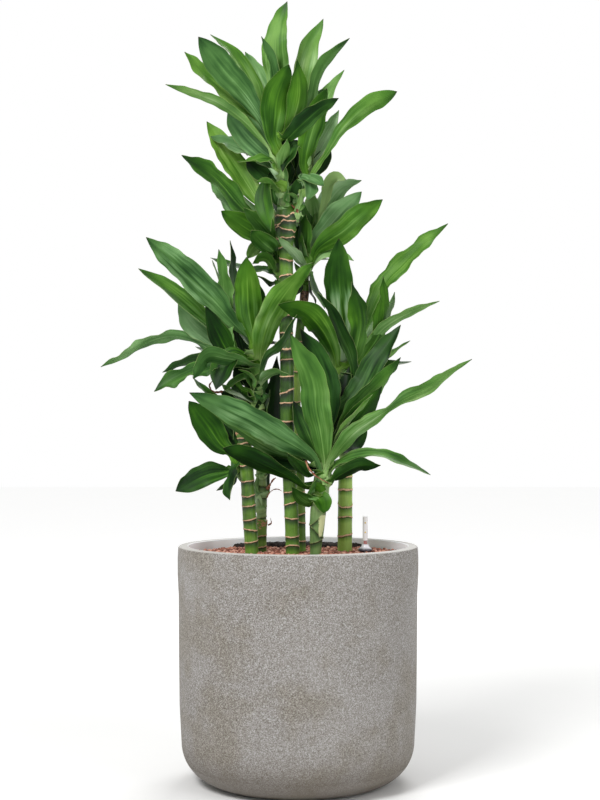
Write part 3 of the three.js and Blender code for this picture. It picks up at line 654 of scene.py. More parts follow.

# Canes. Rows are [across, up, depth, radius], as the camera sees them on the pot's upright middle plane.
# Scars are [height, how much higher the right end is, how far the front sags], and on ragged ones also how
# far they stray and how broad they are against the rest. Light is painted light and shade: how much lighter
# the bark is painted at a height, darker where the leaves shade it.
# Collars are ragged tan bark from one height to another, and dead stretches are brown.
canes = {
    "leftCane": {
        "rows": [[-75, 310, 8, 11], [-77, 382, 8, 11.2], [-81, 440, 8, 11.3], [-85.5, 520, 8, 11.2],
                 [-90, 570, 8, 11.2], [-95, 586, 8, 11.5]],
        "scars": [[397, 3, 1], [417, -4, 0], [434, 2.5, 1], [457, 1.5, 1], [474, 1, 3], [498, 0.5, 1.5],
                  [524, 0, 1], [561, 1, 0.5, 0.8, 1.2], [570, -2, 1]],
        "light": [(310, 0.12), (600, 0)],
        "collars": [(577, 592)],
    },
    "slimCane": {
        "rows": [[-61, 310, 50, 9.5], [-62, 385, 50, 9.8], [-62, 410, 50, 10], [-61.5, 433, 50, 10.5]],
        "scars": [[388, 4, -1], [407, 1, 1]],
        "light": [(310, 0.22), (440, 0.15)],
        "collars": [(419, 438)],
    },
    "tallCane": {
        "rows": [[-8, 310, 0, 11], [-9, 380, 0, 11.3], [-11, 440, 0, 11.5], [-14, 500, 2, 11.3],
                 [-18, 600, 4, 11.4], [-18.5, 700, 6, 11.4], [-20, 760, 8, 11.3], [-19.5, 860, 10, 11.3],
                 [-20, 885, 10, 12], [-21, 900, 10, 14.5], [-21, 915, 10, 17.5], [-21, 930, 10, 18.6],
                 [-20, 945, 10, 17.5], [-20, 953, 10, 13.5]],
        "scars": [[390, 0, -3], [406, 1, 3], [436, -3, 1], [461, 6, 0], [480, 1, 1], [507, 1, 1],
                  [523, 2, 0], [560, 1, 1], [597, 1, 2, 0.8, 1.3], [628, 1, 1.5], [647, 8, 1, 0.8, 1.4],
                  [672, 0.5, 1.5], [700, 2, 1], [717, 2, 1, 1.6, 1.6], [744, -1, 1], [772, 5, 0, 0.8, 1.1],
                  [806, -1, 1], [840, 5, 0, 0.8, 1.2], [866, -5, 1, 0.6, 1.2], [886, -1, 2, 1.4, 1],
                  [903, 2, 6, 2.6, 1], [917, -4, 5, 3.4, 1.1], [928, 5, 3, 4.2, 1.1], [940, 4, 1, 4, 1.3]],
        "light": [(310, 0.12), (530, 0.04), (580, -0.22), (720, -0.24), (770, -0.14), (860, 0),
                  (900, -0.12)],
    },
    "backCane": {
        "rows": [[7, 310, 45, 7.2], [6, 385, 45, 7.2], [4, 500, 48, 7], [-2.5, 640, 52, 6.8],
                 [0, 720, 54, 6.8], [10, 800, 56, 7.5], [12, 822, 56, 8]],
        "scars": [[398, 1, 1], [429, -3, 0], [443, 3, 1], [480, -1, 1], [520, 1, 1], [575, 1, 0],
                  [630, 0, 1], [680, -1, 1], [730, 1, 0], [770, 0, 1]],
        "light": [(310, 0.1), (540, 0.1), (600, 0.4), (680, 0.4), (710, -0.1), (830, -0.1)],
        "dead": [(787, 820)],
    },
    "rightCane": {
        "rows": [[78, 310, 60, 12], [78, 385, 60, 12.3], [78.5, 450, 60, 12.3], [79, 520, 60, 11.8]],
        "scars": [[408, 4, 1, 0.9, 1.4], [438, 0, -3], [457, -2, 6, 0.9, 1.4], [484, 0.5, 1, 0.9, 1.6],
                  [505, 1, 1]],
        "light": [(310, 0.48), (530, 0.42)],
        "collars": [(514, 524)],
    },
}
stalk = {
    "facets": 40, "closeStep": 0.8, "openStep": 6, "margin": 3.5,  # the mesh's rings are closer near a scar
    "reliefTo": 14, "ridge": 0.5, "ridgeReach": 0.9, "swell": 0.3, "swellReach": 5,
    "groove": 0.3, "grooveBelow": 2.6, "grooveReach": 1.3, "collarSoft": 3, "deadSoft": 5, "cap": 3,
    "ragged": (-0.7, 0.9),
}


curves = {"samples": 14, "stemStep": 0.004, "leafStep": 0.012, "halvings": 24}


def seen(across, height, depth):  # the point that the camera sees there, at a depth
    scale = (camera["distance"] + depth) / camera["distance"]
    return Vector((across * scale, depth, camera["height"] + (height - camera["height"]) * scale))


def curvePoint(points, place):  # a point on the smooth curve through the points
    span = min(int(place), len(points) - 2)
    share = place - span
    second, third = points[span], points[span + 1]
    first = points[span - 1] if span else second * 2 - third
    fourth = points[span + 2] if span + 2 < len(points) else third * 2 - second
    a, b, c = [max(math.sqrt((end - start).length), 1e-4)
               for start, end in ((first, second), (second, third), (third, fourth))]
    leave = ((second - first) / a - (third - first) / (a + b) + (third - second) / b) * b
    arrive = ((third - second) / b - (fourth - second) / (b + c) + (fourth - third) / c) * b
    bend = (third - second) * 3 - leave * 2 - arrive
    turn = (second - third) * 2 + leave + arrive
    return second + leave * share + bend * share ** 2 + turn * share ** 3


def readRun(run, place):  # the value at a place, straight between the run's rows
    for (start, first), (end, second) in zip(run, run[1:]):
        if place <= end:
            return blend(first, second, max(0, (place - start) / (end - start)))
    return run[-1][1]


class Stem:
    def __init__(self, rows):
        self.points = [seen(*row[:3]) for row in rows]
        self.radii = [row[3] for row in rows]
        self.spans = len(rows) - 1

    def point(self, share):
        return curvePoint(self.points, share * self.spans)

    def along(self, share):
        step = curves["stemStep"]
        return (self.point(min(1, share + step)) - self.point(max(0, share - step))).normalized()

    def radius(self, share):
        row = min(int(share * self.spans), self.spans - 1)
        return blend(self.radii[row], self.radii[row + 1], share * self.spans - row)

    def find(self, height):  # the share of its length at which it passes a height
        low, high = 0, 1
        for _ in range(curves["halvings"]):
            middle = (low + high) / 2
            low, high = (middle, high) if self.point(middle).z < height else (low, middle)
        return low

    def findSeen(self, height):
        depth = self.point(self.find(height)).y
        return self.find(seen(0, height, depth).z)


def within(level, ranges, soft):  # 1 inside the ranges and 0 outside them
    return max([smoothStep(level, low - soft, low + soft)
                * (1 - smoothStep(level, high - soft, high + soft)) for low, high in ranges], default=0)


def makeStalk(name, stem, rings, light, collars=(), dead=(), pale=None, roundness=1.0):
    chance = random.Random(name)
    rings = [(stem.point(stem.findSeen(height)).z, slope, dip, chance.uniform(0, 6.28),
              *(ragged or (chance.uniform(0.3, 0.8), 1))) for height, slope, dip, *ragged in rings]
    low, high = stem.point(0).z, stem.point(1).z
    count = max(2, round((high - low) / stalk["openStep"]))
    levels = {round(low + (high - low) * i / count, 3) for i in range(count + 1)}
    for height, slope, dip, _, wobble, _ in rings:
        reach = abs(slope) / 2 + abs(dip) * 1.5 + wobble + stalk["margin"]
        count = round(2 * reach / stalk["closeStep"])
        levels |= {round(height - reach + stalk["closeStep"] * i, 1) for i in range(count + 1)}
    levels = sorted(level for level in {low, high, *levels} if low <= level <= high)
    spine = [(stem.point(0), stem.along(0), 0, low)]
    for level in levels:
        share = stem.find(level)
        spine.append((stem.point(share), stem.along(share), stem.radius(share) * roundness, level))
    top, along, radius, _ = spine[-1]
    for turn in (30, 60, 90):
        turn = math.radians(turn)
        lift = stalk["cap"] * math.sin(turn)
        spine.append((top + along * lift, along, radius * math.cos(turn) if turn < 1.5 else 0, high + lift))
    piece = addGrid(name, stalk["facets"], len(spine) - 1)
    marks = {mark: [] for mark in ("scarDistance", "scarAbove", "collar", "dead", "pale", "light")}
    for vertex in piece.data.vertices:
        turn = vertex.co.x * 2 * math.pi
        centre, along, radius, level = spine[round((vertex.co.y + 0.5) * (len(spine) - 1))]
        side = (Vector((1, 0, 0)) - along * along.x).normalized()
        facing = side.cross(along)
        nearest, above, relief = 100, 100, 0
        for height, slope, dip, phase, wobble, breadth in rings:
            ringHeight = height + slope / 2 * math.sin(turn) + dip * (0.5 - math.cos(turn))
            ringHeight += wobble * (math.sin(2 * turn + phase) + 0.6 * math.sin(5 * turn + 2 * phase)
                                    + 0.3 * math.sin(9 * turn + 3 * phase)) * 0.65
            away = level - ringHeight
            nearest = min(nearest, abs(away) / breadth)
            if away < 0:
                above = min(above, -away)
            if abs(away) < stalk["reliefTo"]:
                relief += stalk["ridge"] * breadth * math.exp(-(away / breadth / stalk["ridgeReach"]) ** 2)
                relief += stalk["swell"] * math.exp(-(away / stalk["swellReach"]) ** 2)
                below = (away + stalk["grooveBelow"]) / stalk["grooveReach"]
                relief -= stalk["groove"] * math.exp(-below ** 2)
        collar = within(level, collars, stalk["collarSoft"])
        if radius:
            relief += collar * chance.uniform(*stalk["ragged"])
            radius += relief
        direction = side * math.sin(turn) + facing * math.cos(turn)
        vertex.co = (centre + direction * radius) * mm
        found = (nearest, above, collar, within(level, dead, stalk["deadSoft"]),
                 pale(turn, level) if pale else 0, readRun(light, level))
        for values, value in zip(marks.values(), found):
            values.append(value)
    for mark, values in marks.items():
        keep(piece.data, mark, values)
    closeShell(piece)
    return piece


for name, cane in canes.items():
    piece = makeStalk(name, Stem(cane["rows"]), cane["scars"], cane["light"], cane.get("collars", ()),
                      cane.get("dead", ()))
    finish(piece, caneLook, "cane", name.replace("Cane", "_cane"))
print("canes grown")

# Crowns. A stem's rows are as a cane's are, and its rings as a cane's scars. A crown's light value is the
# painted light and shade on its stem. A leaf is [height on the stem, width, width as seen, tip's depth past
# the stem, lightness, greyness], and then its route from base to tip, as across and up by turns. Lightness
# and greyness hold the leaf's own colour and also painted light, shade and sheen. The small leaves of a
# crown are joined into one piece.
crowns = {}
crowns["topLeft"] = {"node": "top_left", "light": 0.26, "stem": [
    [-20, 936, 10, 10], [-24, 975, 6, 9.5], [-29, 1008, 3, 8.5], [-35, 1045, 0, 8], [-37, 1090, 0, 6],
    [-37, 1108, 0, 4],
], "large": [
    [1065, 44, 42, 20, 0.58, 0.2, -31, 1115, -32, 1150, -37, 1230, -28, 1272, -18, 1297],
    [1053, 46, 45, -50, 0.37, 0.75, -60, 1100, -90, 1145, -125, 1185, -166, 1238],
    [1040, 42, 32, 5, 0.64, 0.1, -75, 1103, -100, 1127, -150, 1171, -189, 1213],
    [1024, 24, 13, -62, 0.62, 0.4, -48, 1050, -68, 1075, -92, 1100, -130, 1127, -165, 1141, -221, 1159],
    [1035, 50, 50, -55, 0.4, 0, -40, 1070, -38, 1110, -34, 1140, -15, 1192],
    [1010, 50, 50, 0, 0.42, 1, -45, 1035, -60, 1050, -80, 1070, -117, 1114],
    [1000, 42, 32, 60, 0.6, 1, -48, 1022, -75, 1045, -110, 1061, -146, 1072],
    [1058, 32, 27, -82, 0.24, 0.3, -19, 1068, -2, 1084, 17, 1102, 39, 1120, 68, 1136],
], "small": [
    [1070, 44, 40, 70, 0.68, 0.8, -48, 1090, -52, 1120, -70, 1180, -88, 1213],
    [1080, 34, 17, -5, 0.42, 0.8, -36, 1125, -41, 1182, -48, 1208, -61, 1239],
    [1070, 42, 27, 45, 0.58, 0.1, -52, 1085, -62, 1112, -71, 1146, -90, 1182, -114, 1217, -146, 1242],
    [1055, 36, 32, -72, 0.42, 0, -20, 1076, -10, 1095, 2, 1140, -2, 1201],
    [1008, 26, 14, -90, 0.45, 0.1, -38, 1028, -50, 1034, -70, 1032, -101, 1030],
    [975, 32, 28, -60, 0.4, 0, -40, 990, -52, 999, -57, 975, -52, 940, -46, 914],
    [1000, 26, 17, -34, 0.55, 0.4, -27, 1022, -22, 1045, -18, 1068],
    [1045, 42, 40, 170, 0.3, 0.2, -45, 1070, -62, 1105, -78, 1130],
    [1060, 42, 40, 165, 0.3, 0.2, -25, 1090, -5, 1125, 12, 1140],
    [1020, 42, 40, 180, 0.3, 0.2, -50, 1040, -72, 1050, -95, 1052],
    [985, 36, 34, 60, 0.25, 0.1, -45, 998, -62, 1010, -86, 1032],
    [968, 20, 9, -50, 0.7, 0.3, -40, 986, -55, 999, -70, 996],
    [950, 15, 9, -20, 0.6, 0.5, -20, 966, -17, 978, -10, 992],
    [950, 28, 24, 20, 0.2, 0.4, -38, 965, -43, 990, -48, 1012],
    [1030, 34, 30, 40, 0.15, 0.1, -24, 1050, -18, 1075, -14, 1100],
    [975, 36, 30, 60, 0.15, 0.1, -18, 998, -10, 1030, -4, 1062],
    [942, 36, 22, -9, 0.62, 0.7, -24, 962, -26, 987, -29, 1014],
    [968, 36, 19, -9, 0.66, 0.6, -28, 990, -31, 1015, -37, 1045],
]}
crowns["topRight"] = {"node": "top_right", "light": 0.16, "stem": [
    [-8, 924, 12, 9], [-3, 952, 14, 9.5], [3, 975, 16, 9], [9, 1002, 16, 8], [12, 1026, 16, 6],
    [13, 1042, 16, 4],
], "large": [
    [1032, 40, 38, 60, 0.72, 0.25, 12, 1060, 6, 1140, 17, 1210, 42, 1268],
    [1018, 34, 17, -30, 0.54, 0.5, 18, 1070, 25, 1130, 36, 1174, 54, 1205, 86, 1236],
    [970, 32, 28, -30, 0.58, 0.2, 22, 1005, 50, 1048, 74, 1085, 116, 1122, 165, 1147],
    [990, 42, 36, -40, 0.42, 0, 12, 1025, 18, 1060, 32, 1105, 48, 1152],
], "small": [
    [1008, 38, 30, 65, 0.75, 0.4, 28, 1080, 44, 1128, 58, 1157, 77, 1183],
    [1022, 30, 24, 60, 0.3, 0.3, 22, 1090, 25, 1135, 50, 1155],
    [998, 38, 30, 50, 0.85, 1, 24, 1030, 48, 1075, 68, 1116],
    [984, 38, 32, 20, 0.1, 0, 20, 1000, 36, 1022, 54, 1056],
    [988, 34, 28, -62, 0.6, 0.9, 4, 1003, 11, 1003, 16, 992, 16, 966],
    [996, 30, 22, -58, 0.5, 0.9, 8, 1004, 22, 1000, 43, 989],
    [1034, 30, 21, -36, 0.2, 0.1, 4, 1056, -5, 1057, -14, 1040, -26, 1013],
    [1012, 42, 40, 170, 0.3, 0.2, 22, 1050, 45, 1085, 62, 1100],
    [990, 40, 38, 160, 0.3, 0.2, 18, 1015, 32, 1030, 45, 1038],
    [958, 32, 28, 45, 0.12, 0.1, 0, 985, -9, 1005, -13, 1022],
    [985, 36, 30, 50, 0.25, 0.1, 4, 1015, -4, 1045, -10, 1066],
    [934, 26, 13, -24, 0.75, 0.4, -1, 945, 3, 960, 5, 984],
    [955, 13, 8, -32, 0.6, 0.5, -3, 968, -9, 975, -19, 977],
    [948, 34, 26, -8, 0.35, 0.4, 2, 965, 6, 988, 9, 1010],
    [944, 36, 32, 24, 0.15, 0.3, -9, 958, -13, 978, -15, 1004],
]}
crowns["behind"] = {"node": "behind", "light": 0.15, "stem": [
    [-20, 800, 12, 5], [-26, 822, 28, 6], [-32, 860, 36, 7], [-36, 900, 40, 7], [-40, 932, 42, 6],
    [-41, 948, 42, 4],
], "large": [
    [925, 43, 41, 30, 0.75, 0.05, -52, 945, -75, 977, -113, 1036, -152, 1097],
    [914, 40, 28, -15, 0.42, 0.15, -60, 920, -78, 938, -100, 960, -140, 1005, -194, 1041],
    [882, 40, 35, -50, 0.46, 0.05, -60, 902, -95, 925, -128, 948],
], "small": [
    [906, 38, 30, 60, 0.62, 0.9, -60, 914, -90, 932, -122, 970, -148, 1001],
    [890, 30, 20, 10, 0.8, 0.3, -48, 900, -65, 893, -85, 868],
    [890, 38, 30, -78, 0.46, 0.3, -45, 906, -62, 927, -90, 953],
    [868, 38, 32, -95, 0.38, 0.2, -42, 882, -55, 893, -78, 916],
    [838, 26, 15, -30, 0.5, 0.2, -40, 850, -52, 867, -64, 868, -76, 860],
    [842, 26, 14, 110, 0.32, 0.2, -45, 852, -75, 850, -110, 858, -146, 870],
    [832, 24, 13, 30, 0.32, 0.2, -40, 842, -54, 850, -66, 850, -80, 843],
    [820, 22, 8, -10, 0.3, 0.2, -45, 826, -60, 836, -75, 843],
    [912, 40, 36, 160, 0.3, 0.2, -48, 945, -60, 975, -66, 990],
    [900, 40, 36, 150, 0.3, 0.2, -45, 915, -58, 925, -66, 930],
    [860, 28, 22, -20, 0.35, 0.2, -42, 868, -42, 878, -46, 892],
    [812, 20, 14, -10, 0.35, 0.2, -33, 818, -34, 824, -38, 834],
    [885, 30, 18, 20, 0.8, 0.9, -46, 905, -64, 932, -90, 972],
]}
crowns["middle"] = {"node": "middle", "light": 0.32, "stem": [
    [12, 820, 56, 5.5], [13, 846, 54, 7], [16, 872, 50, 7], [18, 890, 48, 5],
], "large": [
    [862, 42, 40, -10, 0.6, 1, 31, 900, 50, 920, 72, 945, 106, 980],
    [850, 42, 40, -50, 0.5, 0.1, 31, 882, 75, 914, 103, 938, 141, 967],
    [876, 30, 22, 20, 1.2, 0.3, 30, 910, 40, 942, 47, 968, 52, 990, 63, 1003, 80, 1000],
], "small": [
    [868, 44, 40, 95, 0.75, 1, 28, 900, 45, 950, 70, 985, 106, 999],
    [878, 34, 24, 85, 0.5, 0.3, 16, 900, 20, 930, 28, 978],
    [846, 26, 13, -135, 0.8, 0.9, 5, 862, -10, 880, -33, 905],
    [858, 28, 16, -30, 0.45, 0.2, 10, 870, 7, 890, 5, 912],
    [838, 26, 12, -30, 0.5, 0.5, 22, 842, 28, 815, 45, 785],
    [842, 30, 20, -20, 0.7, 0.5, 28, 862, 45, 876, 68, 875, 93, 865],
    [848, 16, 9, 25, 0.2, 0.2, 24, 858, 35, 867, 55, 868],
    [858, 40, 36, 150, 0.3, 0.2, 28, 895, 50, 915, 66, 925],
    [850, 38, 34, 140, 0.3, 0.2, 5, 880, -4, 900, -8, 915],
    [866, 36, 30, 55, 0.42, 0.2, 14, 905, 10, 940, 6, 968],
    [856, 32, 26, 25, 0.08, 0.1, 6, 880, 3, 908, 0, 938],
    [852, 34, 26, -20, 0.45, 0.2, 10, 880, 9, 910, 13, 942],
    [860, 40, 36, 70, 0.8, 0.5, 22, 900, 24, 940, 20, 985],
    [826, 26, 18, -10, 0.4, 0.5, 6, 835, 0, 848, -6, 862],
    [823, 18, 10, -15, 0.14, 0.2, 4, 818, -4, 808, -10, 800],
    [823, 18, 9, -10, 0.14, 0.2, 20, 814, 27, 802, 30, 792],
]}
crowns["left"] = {"node": "left", "light": 0.27, "stem": [
    [-61, 430, 50, 9], [-60, 480, 50, 9.3], [-61, 510, 48, 9], [-64, 560, 46, 9], [-63, 600, 44, 9.5],
    [-66, 640, 42, 9.5], [-68, 690, 40, 8], [-70, 744, 40, 5],
], "large": [
    [718, 50, 45, -75, 0.42, 0.75, -80, 733, -104, 757, -143, 801, -193, 850, -253, 904],
    [693, 38, 28, 15, 0.5, 0.15, -92, 708, -120, 735, -158, 770, -205, 812, -266, 852],
    [698, 45, 45, 65, 0.66, 1, -90, 705, -115, 715, -175, 760, -200, 793],
    [683, 25, 15, 10, 0.58, 0.85, -100, 690, -130, 707, -165, 727, -205, 739, -245, 731, -270, 717,
     -300, 703, -329, 688],
    [700, 34, 27, -22, 0.66, 0.45, -96, 706, -114, 724, -119, 760, -123, 812, -126, 848, -132, 884],
    [706, 46, 46, -70, 0.48, 0, -74, 740, -82, 780, -84, 815, -86, 871],
    [690, 46, 42, -135, 0.6, 0.1, -62, 715, -46, 770, -6, 830, 25, 862],
    [673, 40, 28, -30, 0.39, 0.4, -85, 684, -115, 694, -190, 675, -240, 647],
    [678, 32, 25, -85, 0.42, 0.6, -85, 694, -120, 702, -150, 705, -175, 668],
], "small": [
    [712, 34, 15, 45, 0.36, 0.8, -85, 730, -100, 755, -107, 840, -113, 899],
    [733, 30, 12, 60, 0.6, 0.2, -90, 748, -120, 800, -135, 845, -143, 866],
    [705, 36, 22, -20, 0.22, 0, -66, 730, -64, 790, -70, 840],
    [662, 26, 12, -110, 0.4, 0.6, -60, 682, -52, 702, -30, 722, -2, 775],
    [652, 22, 13, -110, 0.62, 0.6, -54, 671, -35, 680, -14, 675],
    [690, 34, 16, 60, 0.1, 0.1, -55, 722, -40, 728, -28, 727],
    [470, 44, 34, 30, 0.03, 0.2, -52, 520, -42, 580, -39, 650, -35, 706],
    [704, 30, 14, 135, 0.3, 0.5, -95, 703, -130, 705, -171, 722],
    [690, 34, 20, 60, 0.35, 0.5, -90, 695, -110, 700, -180, 697, -226, 679],
    [688, 42, 38, -45, 0.22, 0, -88, 705, -108, 711, -122, 690, -137, 650],
    [684, 40, 38, -20, 0.16, 0, -90, 697, -112, 708, -134, 745, -154, 790],
    [705, 42, 40, 170, 0.3, 0.2, -78, 730, -92, 760, -100, 775],
    [690, 42, 38, 180, 0.3, 0.2, -66, 720, -72, 760, -76, 800],
    [680, 40, 36, 170, 0.3, 0.2, -85, 690, -105, 695, -118, 690],
    [628, 36, 28, -12, 0.3, 0.7, -62, 645, -57, 660, -53, 676],
    [648, 24, 10, -35, 0.5, 0.4, -74, 664, -84, 677, -100, 684],
    [640, 24, 12, -30, 0.45, 0.4, -78, 660, -88, 671, -104, 665, -124, 648],
    [632, 34, 28, 10, 0.08, 0.3, -72, 645, -82, 655, -92, 664],
    [622, 34, 26, 25, 0.3, 0.7, -78, 632, -95, 642, -108, 664],
    [636, 26, 16, -10, 0.5, 0.1, -80, 645, -95, 652, -107, 670],
    [618, 22, 8, 0, 0.6, 0.3, -78, 628, -95, 638, -112, 646, -128, 660],
    [608, 32, 26, 30, 0.2, 0.3, -78, 618, -100, 632, -130, 648],
    [592, 36, 28, -14, 0.18, 0.4, -64, 605, -63, 622, -60, 642],
    [600, 20, 8, 10, 0.5, 0.2, -54, 615, -50, 632, -47, 650],
    [690, 36, 32, 60, 0.15, 0.6, -88, 705, -100, 735, -104, 775],
    [540, 34, 28, -10, 0.1, 0.4, -52, 555, -44, 562, -36, 545],
    [572, 32, 26, 10, 0.12, 0.3, -50, 590, -40, 585, -34, 556],
    [470, 32, 22, -12, 0.76, 0.7, -62, 482, -62, 500, -57, 520],
    [500, 34, 24, -14, 0.64, 0.6, -60, 515, -61, 535, -64, 556],
    [444, 30, 20, -10, 0.8, 0.6, -66, 456, -66, 472, -68, 492],
    [652, 36, 32, 45, 0.12, 0.3, -78, 660, -88, 668, -104, 690],
]}
crowns["lowLeft"] = {"node": "low_left", "light": 0, "stem": [
    [-87, 496, 10, 5], [-97, 507, 17, 6], [-101, 525, 20, 6], [-104, 545, 22, 4],
], "large": [
    [522, 45, 45, -10, 0.32, 0, -115, 546, -130, 560, -148, 586, -182, 631],
    [509, 40, 38, -45, 0.26, 0.1, -112, 515, -150, 508, -204, 481],
], "small": [
    [535, 30, 15, 70, 0.4, 0.2, -105, 565, -110, 600, -150, 642, -176, 672],
    [530, 30, 25, 30, 0.1, 0.1, -102, 555, -115, 580, -140, 616],
    [518, 30, 20, -75, 0.2, 0.2, -107, 520, -112, 500, -114, 466],
    [500, 22, 12, 40, 0.3, 0.3, -108, 495, -136, 482],
    [525, 38, 34, 150, 0.3, 0.2, -110, 550, -125, 570, -130, 580],
    [515, 24, 18, -14, 0.5, 0.4, -98, 528, -99, 540, -103, 552],
]}
crowns["front"] = {"node": "front", "light": 0.12,
                   "rings": [[436, 26, 3], [414, -20, 2], [398, 9, 2]], "stem": [
    [29, 330, -15, 9], [29.5, 385, -15, 10], [31.5, 418, -15, 13], [34, 450, -16, 14.4],
    [39, 480, -18, 13.5], [43, 510, -20, 12.5], [46, 540, -22, 9], [47, 574, -24, 5.5],
], "large": [
    [530, 44, 38, 20, 0.24, 0.2, 52, 575, 64, 608, 87, 630, 109, 657, 127, 693, 148, 724, 171, 758],
    [518, 38, 28, -8, 0.42, 0.2, 58, 556, 85, 600, 118, 640, 145, 668, 171, 704],
    [494, 34, 28, -105, 0.62, 0.4, 50, 518, 60, 538, 93, 577, 128, 602, 170, 630, 219, 654, 258, 682,
     290, 701],
    [488, 32, 15, -60, 0.52, 0.3, 50, 506, 62, 524, 98, 539, 140, 541, 180, 526, 221, 508],
    [500, 47, 46, -105, 0.5, 0.35, 44, 522, 42, 550, 37, 585, 30, 620, 28, 648, 22, 674, 7, 704, -13,
     743],
    [494, 46, 45, -90, 0.42, 0.8, 35, 515, 24, 535, 5, 550, -30, 570, -80, 600, -130, 622, -181, 645],
    [478, 38, 33, -45, 0.21, 0, 18, 484, -10, 503, -32, 514, -80, 536, -125, 553],
], "small": [
    [556, 34, 20, 115, 0.28, 0.1, 72, 608, 110, 660, 150, 690, 189, 697],
    [524, 42, 36, -25, 0.26, 0.1, 70, 556, 100, 598, 122, 628, 140, 656],
    [488, 32, 25, -60, 0.15, 0.2, 55, 497, 70, 508, 100, 523, 138, 524],
    [550, 48, 46, -10, 0.12, 0.3, 48, 590, 47, 650, 32, 700, 4, 752],
    [513, 38, 27, -15, 0.45, 0.4, 22, 522, -5, 536, -42, 550, -92, 580, -142, 614],
    [505, 36, 28, 5, 0.12, 0.2, 18, 518, 0, 527, -30, 530, -62, 548],
    [530, 42, 36, 20, 0.15, 0.2, 28, 550, 14, 583, -8, 631],
    [470, 28, 24, -30, 0.35, 0.2, 22, 462, 8, 468, -10, 488],
    [468, 34, 33, -52, 0.42, 0, 33, 472, 38, 465, 43, 444],
    [535, 40, 38, 95, 0.3, 0.2, 62, 548, 95, 570, 112, 598],
    [520, 40, 36, 160, 0.3, 0.2, 25, 545, 5, 560, -5, 565],
    [510, 38, 18, 55, 0.35, 0.2, 62, 520, 85, 530, 105, 538],
    [458, 44, 26, -7, 0.6, 0.6, 35, 476, 38, 496, 42, 522],
    [460, 44, 26, -6, 0.56, 0.7, 32, 474, 32, 490, 30, 508],
    [462, 22, 9, -30, 0.5, 0.4, 22, 474, 26, 488, 30, 500],
    [500, 30, 16, -50, 0.25, 0.2, 18, 505, 0, 520, -18, 545],
    [528, 22, 9, -60, 0.65, 0.2, 64, 566, 80, 590, 104, 618, 124, 642],
    [545, 40, 34, 60, 0.1, 0.1, 66, 590, 78, 640, 86, 690],
]}
crowns["right"] = {"node": "right", "light": 0.4, "stem": [
    [78, 516, 60, 8.5], [74, 560, 60, 7.5], [72, 600, 58, 7.3], [71, 650, 55, 7.5], [70, 690, 52, 7.5],
    [71, 716, 50, 5],
], "large": [
    [690, 50, 50, -60, 0.32, 0.1, 75, 745, 68, 840, 68, 902],
    [700, 36, 30, 30, 0.52, 0.1, 88, 712, 100, 728, 130, 800, 150, 835, 175, 860, 210, 895, 250, 927],
    [681, 26, 16, -10, 0.66, 0.5, 90, 700, 112, 722, 148, 757, 191, 781, 236, 798],
    [676, 42, 38, -110, 0.42, 0, 60, 708, 40, 750, 10, 780, -33, 792],
], "small": [
    [676, 42, 34, -92, 0.38, 0, 88, 692, 98, 722, 104, 765, 89, 830],
    [636, 34, 20, -95, 0.3, 0.3, 84, 650, 93, 677, 88, 706, 70, 750, 55, 785, 32, 813],
    [680, 36, 27, -5, 0.42, 0, 98, 692, 118, 716, 136, 746, 143, 790, 142, 838],
    [690, 34, 18, 60, 0.85, 0.9, 100, 715, 130, 745, 155, 790, 161, 813],
    [675, 34, 22, 100, 0.8, 0.9, 95, 710, 118, 740, 140, 797],
    [655, 24, 13, 30, 0.5, 0.2, 85, 665, 110, 685, 150, 708, 187, 732],
    [672, 22, 14, -25, 0.7, 0.8, 80, 680, 92, 675],
    [660, 22, 10, -15, 0.18, 0.2, 82, 660, 95, 645],
    [709, 42, 40, 170, 0.3, 0.2, 80, 732, 92, 760, 98, 775],
    [690, 40, 38, 165, 0.3, 0.2, 60, 712, 48, 735, 42, 745],
    [680, 40, 36, 160, 0.3, 0.2, 88, 695, 108, 715, 118, 722],
    [600, 28, 20, -12, 0.9, 0.5, 70, 620, 69, 645, 70, 672],
    [640, 28, 20, -12, 0.95, 0.4, 73, 655, 75, 675, 80, 692],
    [545, 26, 20, -12, 0.8, 0.6, 76, 560, 74, 580, 73, 602],
]}

blade = {
    "mesh": (14, 46), "smallMesh": (10, 28), "thickness": 0.55,
    "fold": (2, 11),  # degrees by which each half rises from the midrib
    "hollow": (55, 150),  # radius of the open blade's section
    "channel": (0.06, 0.27), "foldFrom": (0.1, 0.35), "opens": (0.14, 0.36), "closes": (0.86, 0.99),
    "wave": (0.03, 0.11), "waveLength": (48, 95), "edgeWave": 0.05, "rise": 8, "lift": 4, "bow": 0.8,
    "twistEnd": 0.3, "stemRoundness": 0.93, "stand": 0.2, "sheathTo": 62, "pinchAt": 0.52,
    "clasp": 105, "claspEnd": 28,  # degrees round the stem that a base clasps, and how far up it does
}
outlines = {  # half width by share of the length
    "large": [(0, 0.36), (0.1, 0.34), (0.24, 0.56), (0.4, 0.88), (0.56, 1), (0.74, 0.9), (0.87, 0.6),
              (0.95, 0.29), (0.985, 0.1), (1, 0.02)],
    "small": [(0, 0.36), (0.14, 0.36), (0.34, 0.78), (0.54, 1), (0.76, 0.78), (0.89, 0.42), (0.96, 0.16),
              (1, 0.02)],
    "sheath": [(0, 0.8), (0.3, 0.85), (0.55, 0.7), (0.8, 0.38), (0.93, 0.14), (1, 0.02)],
}
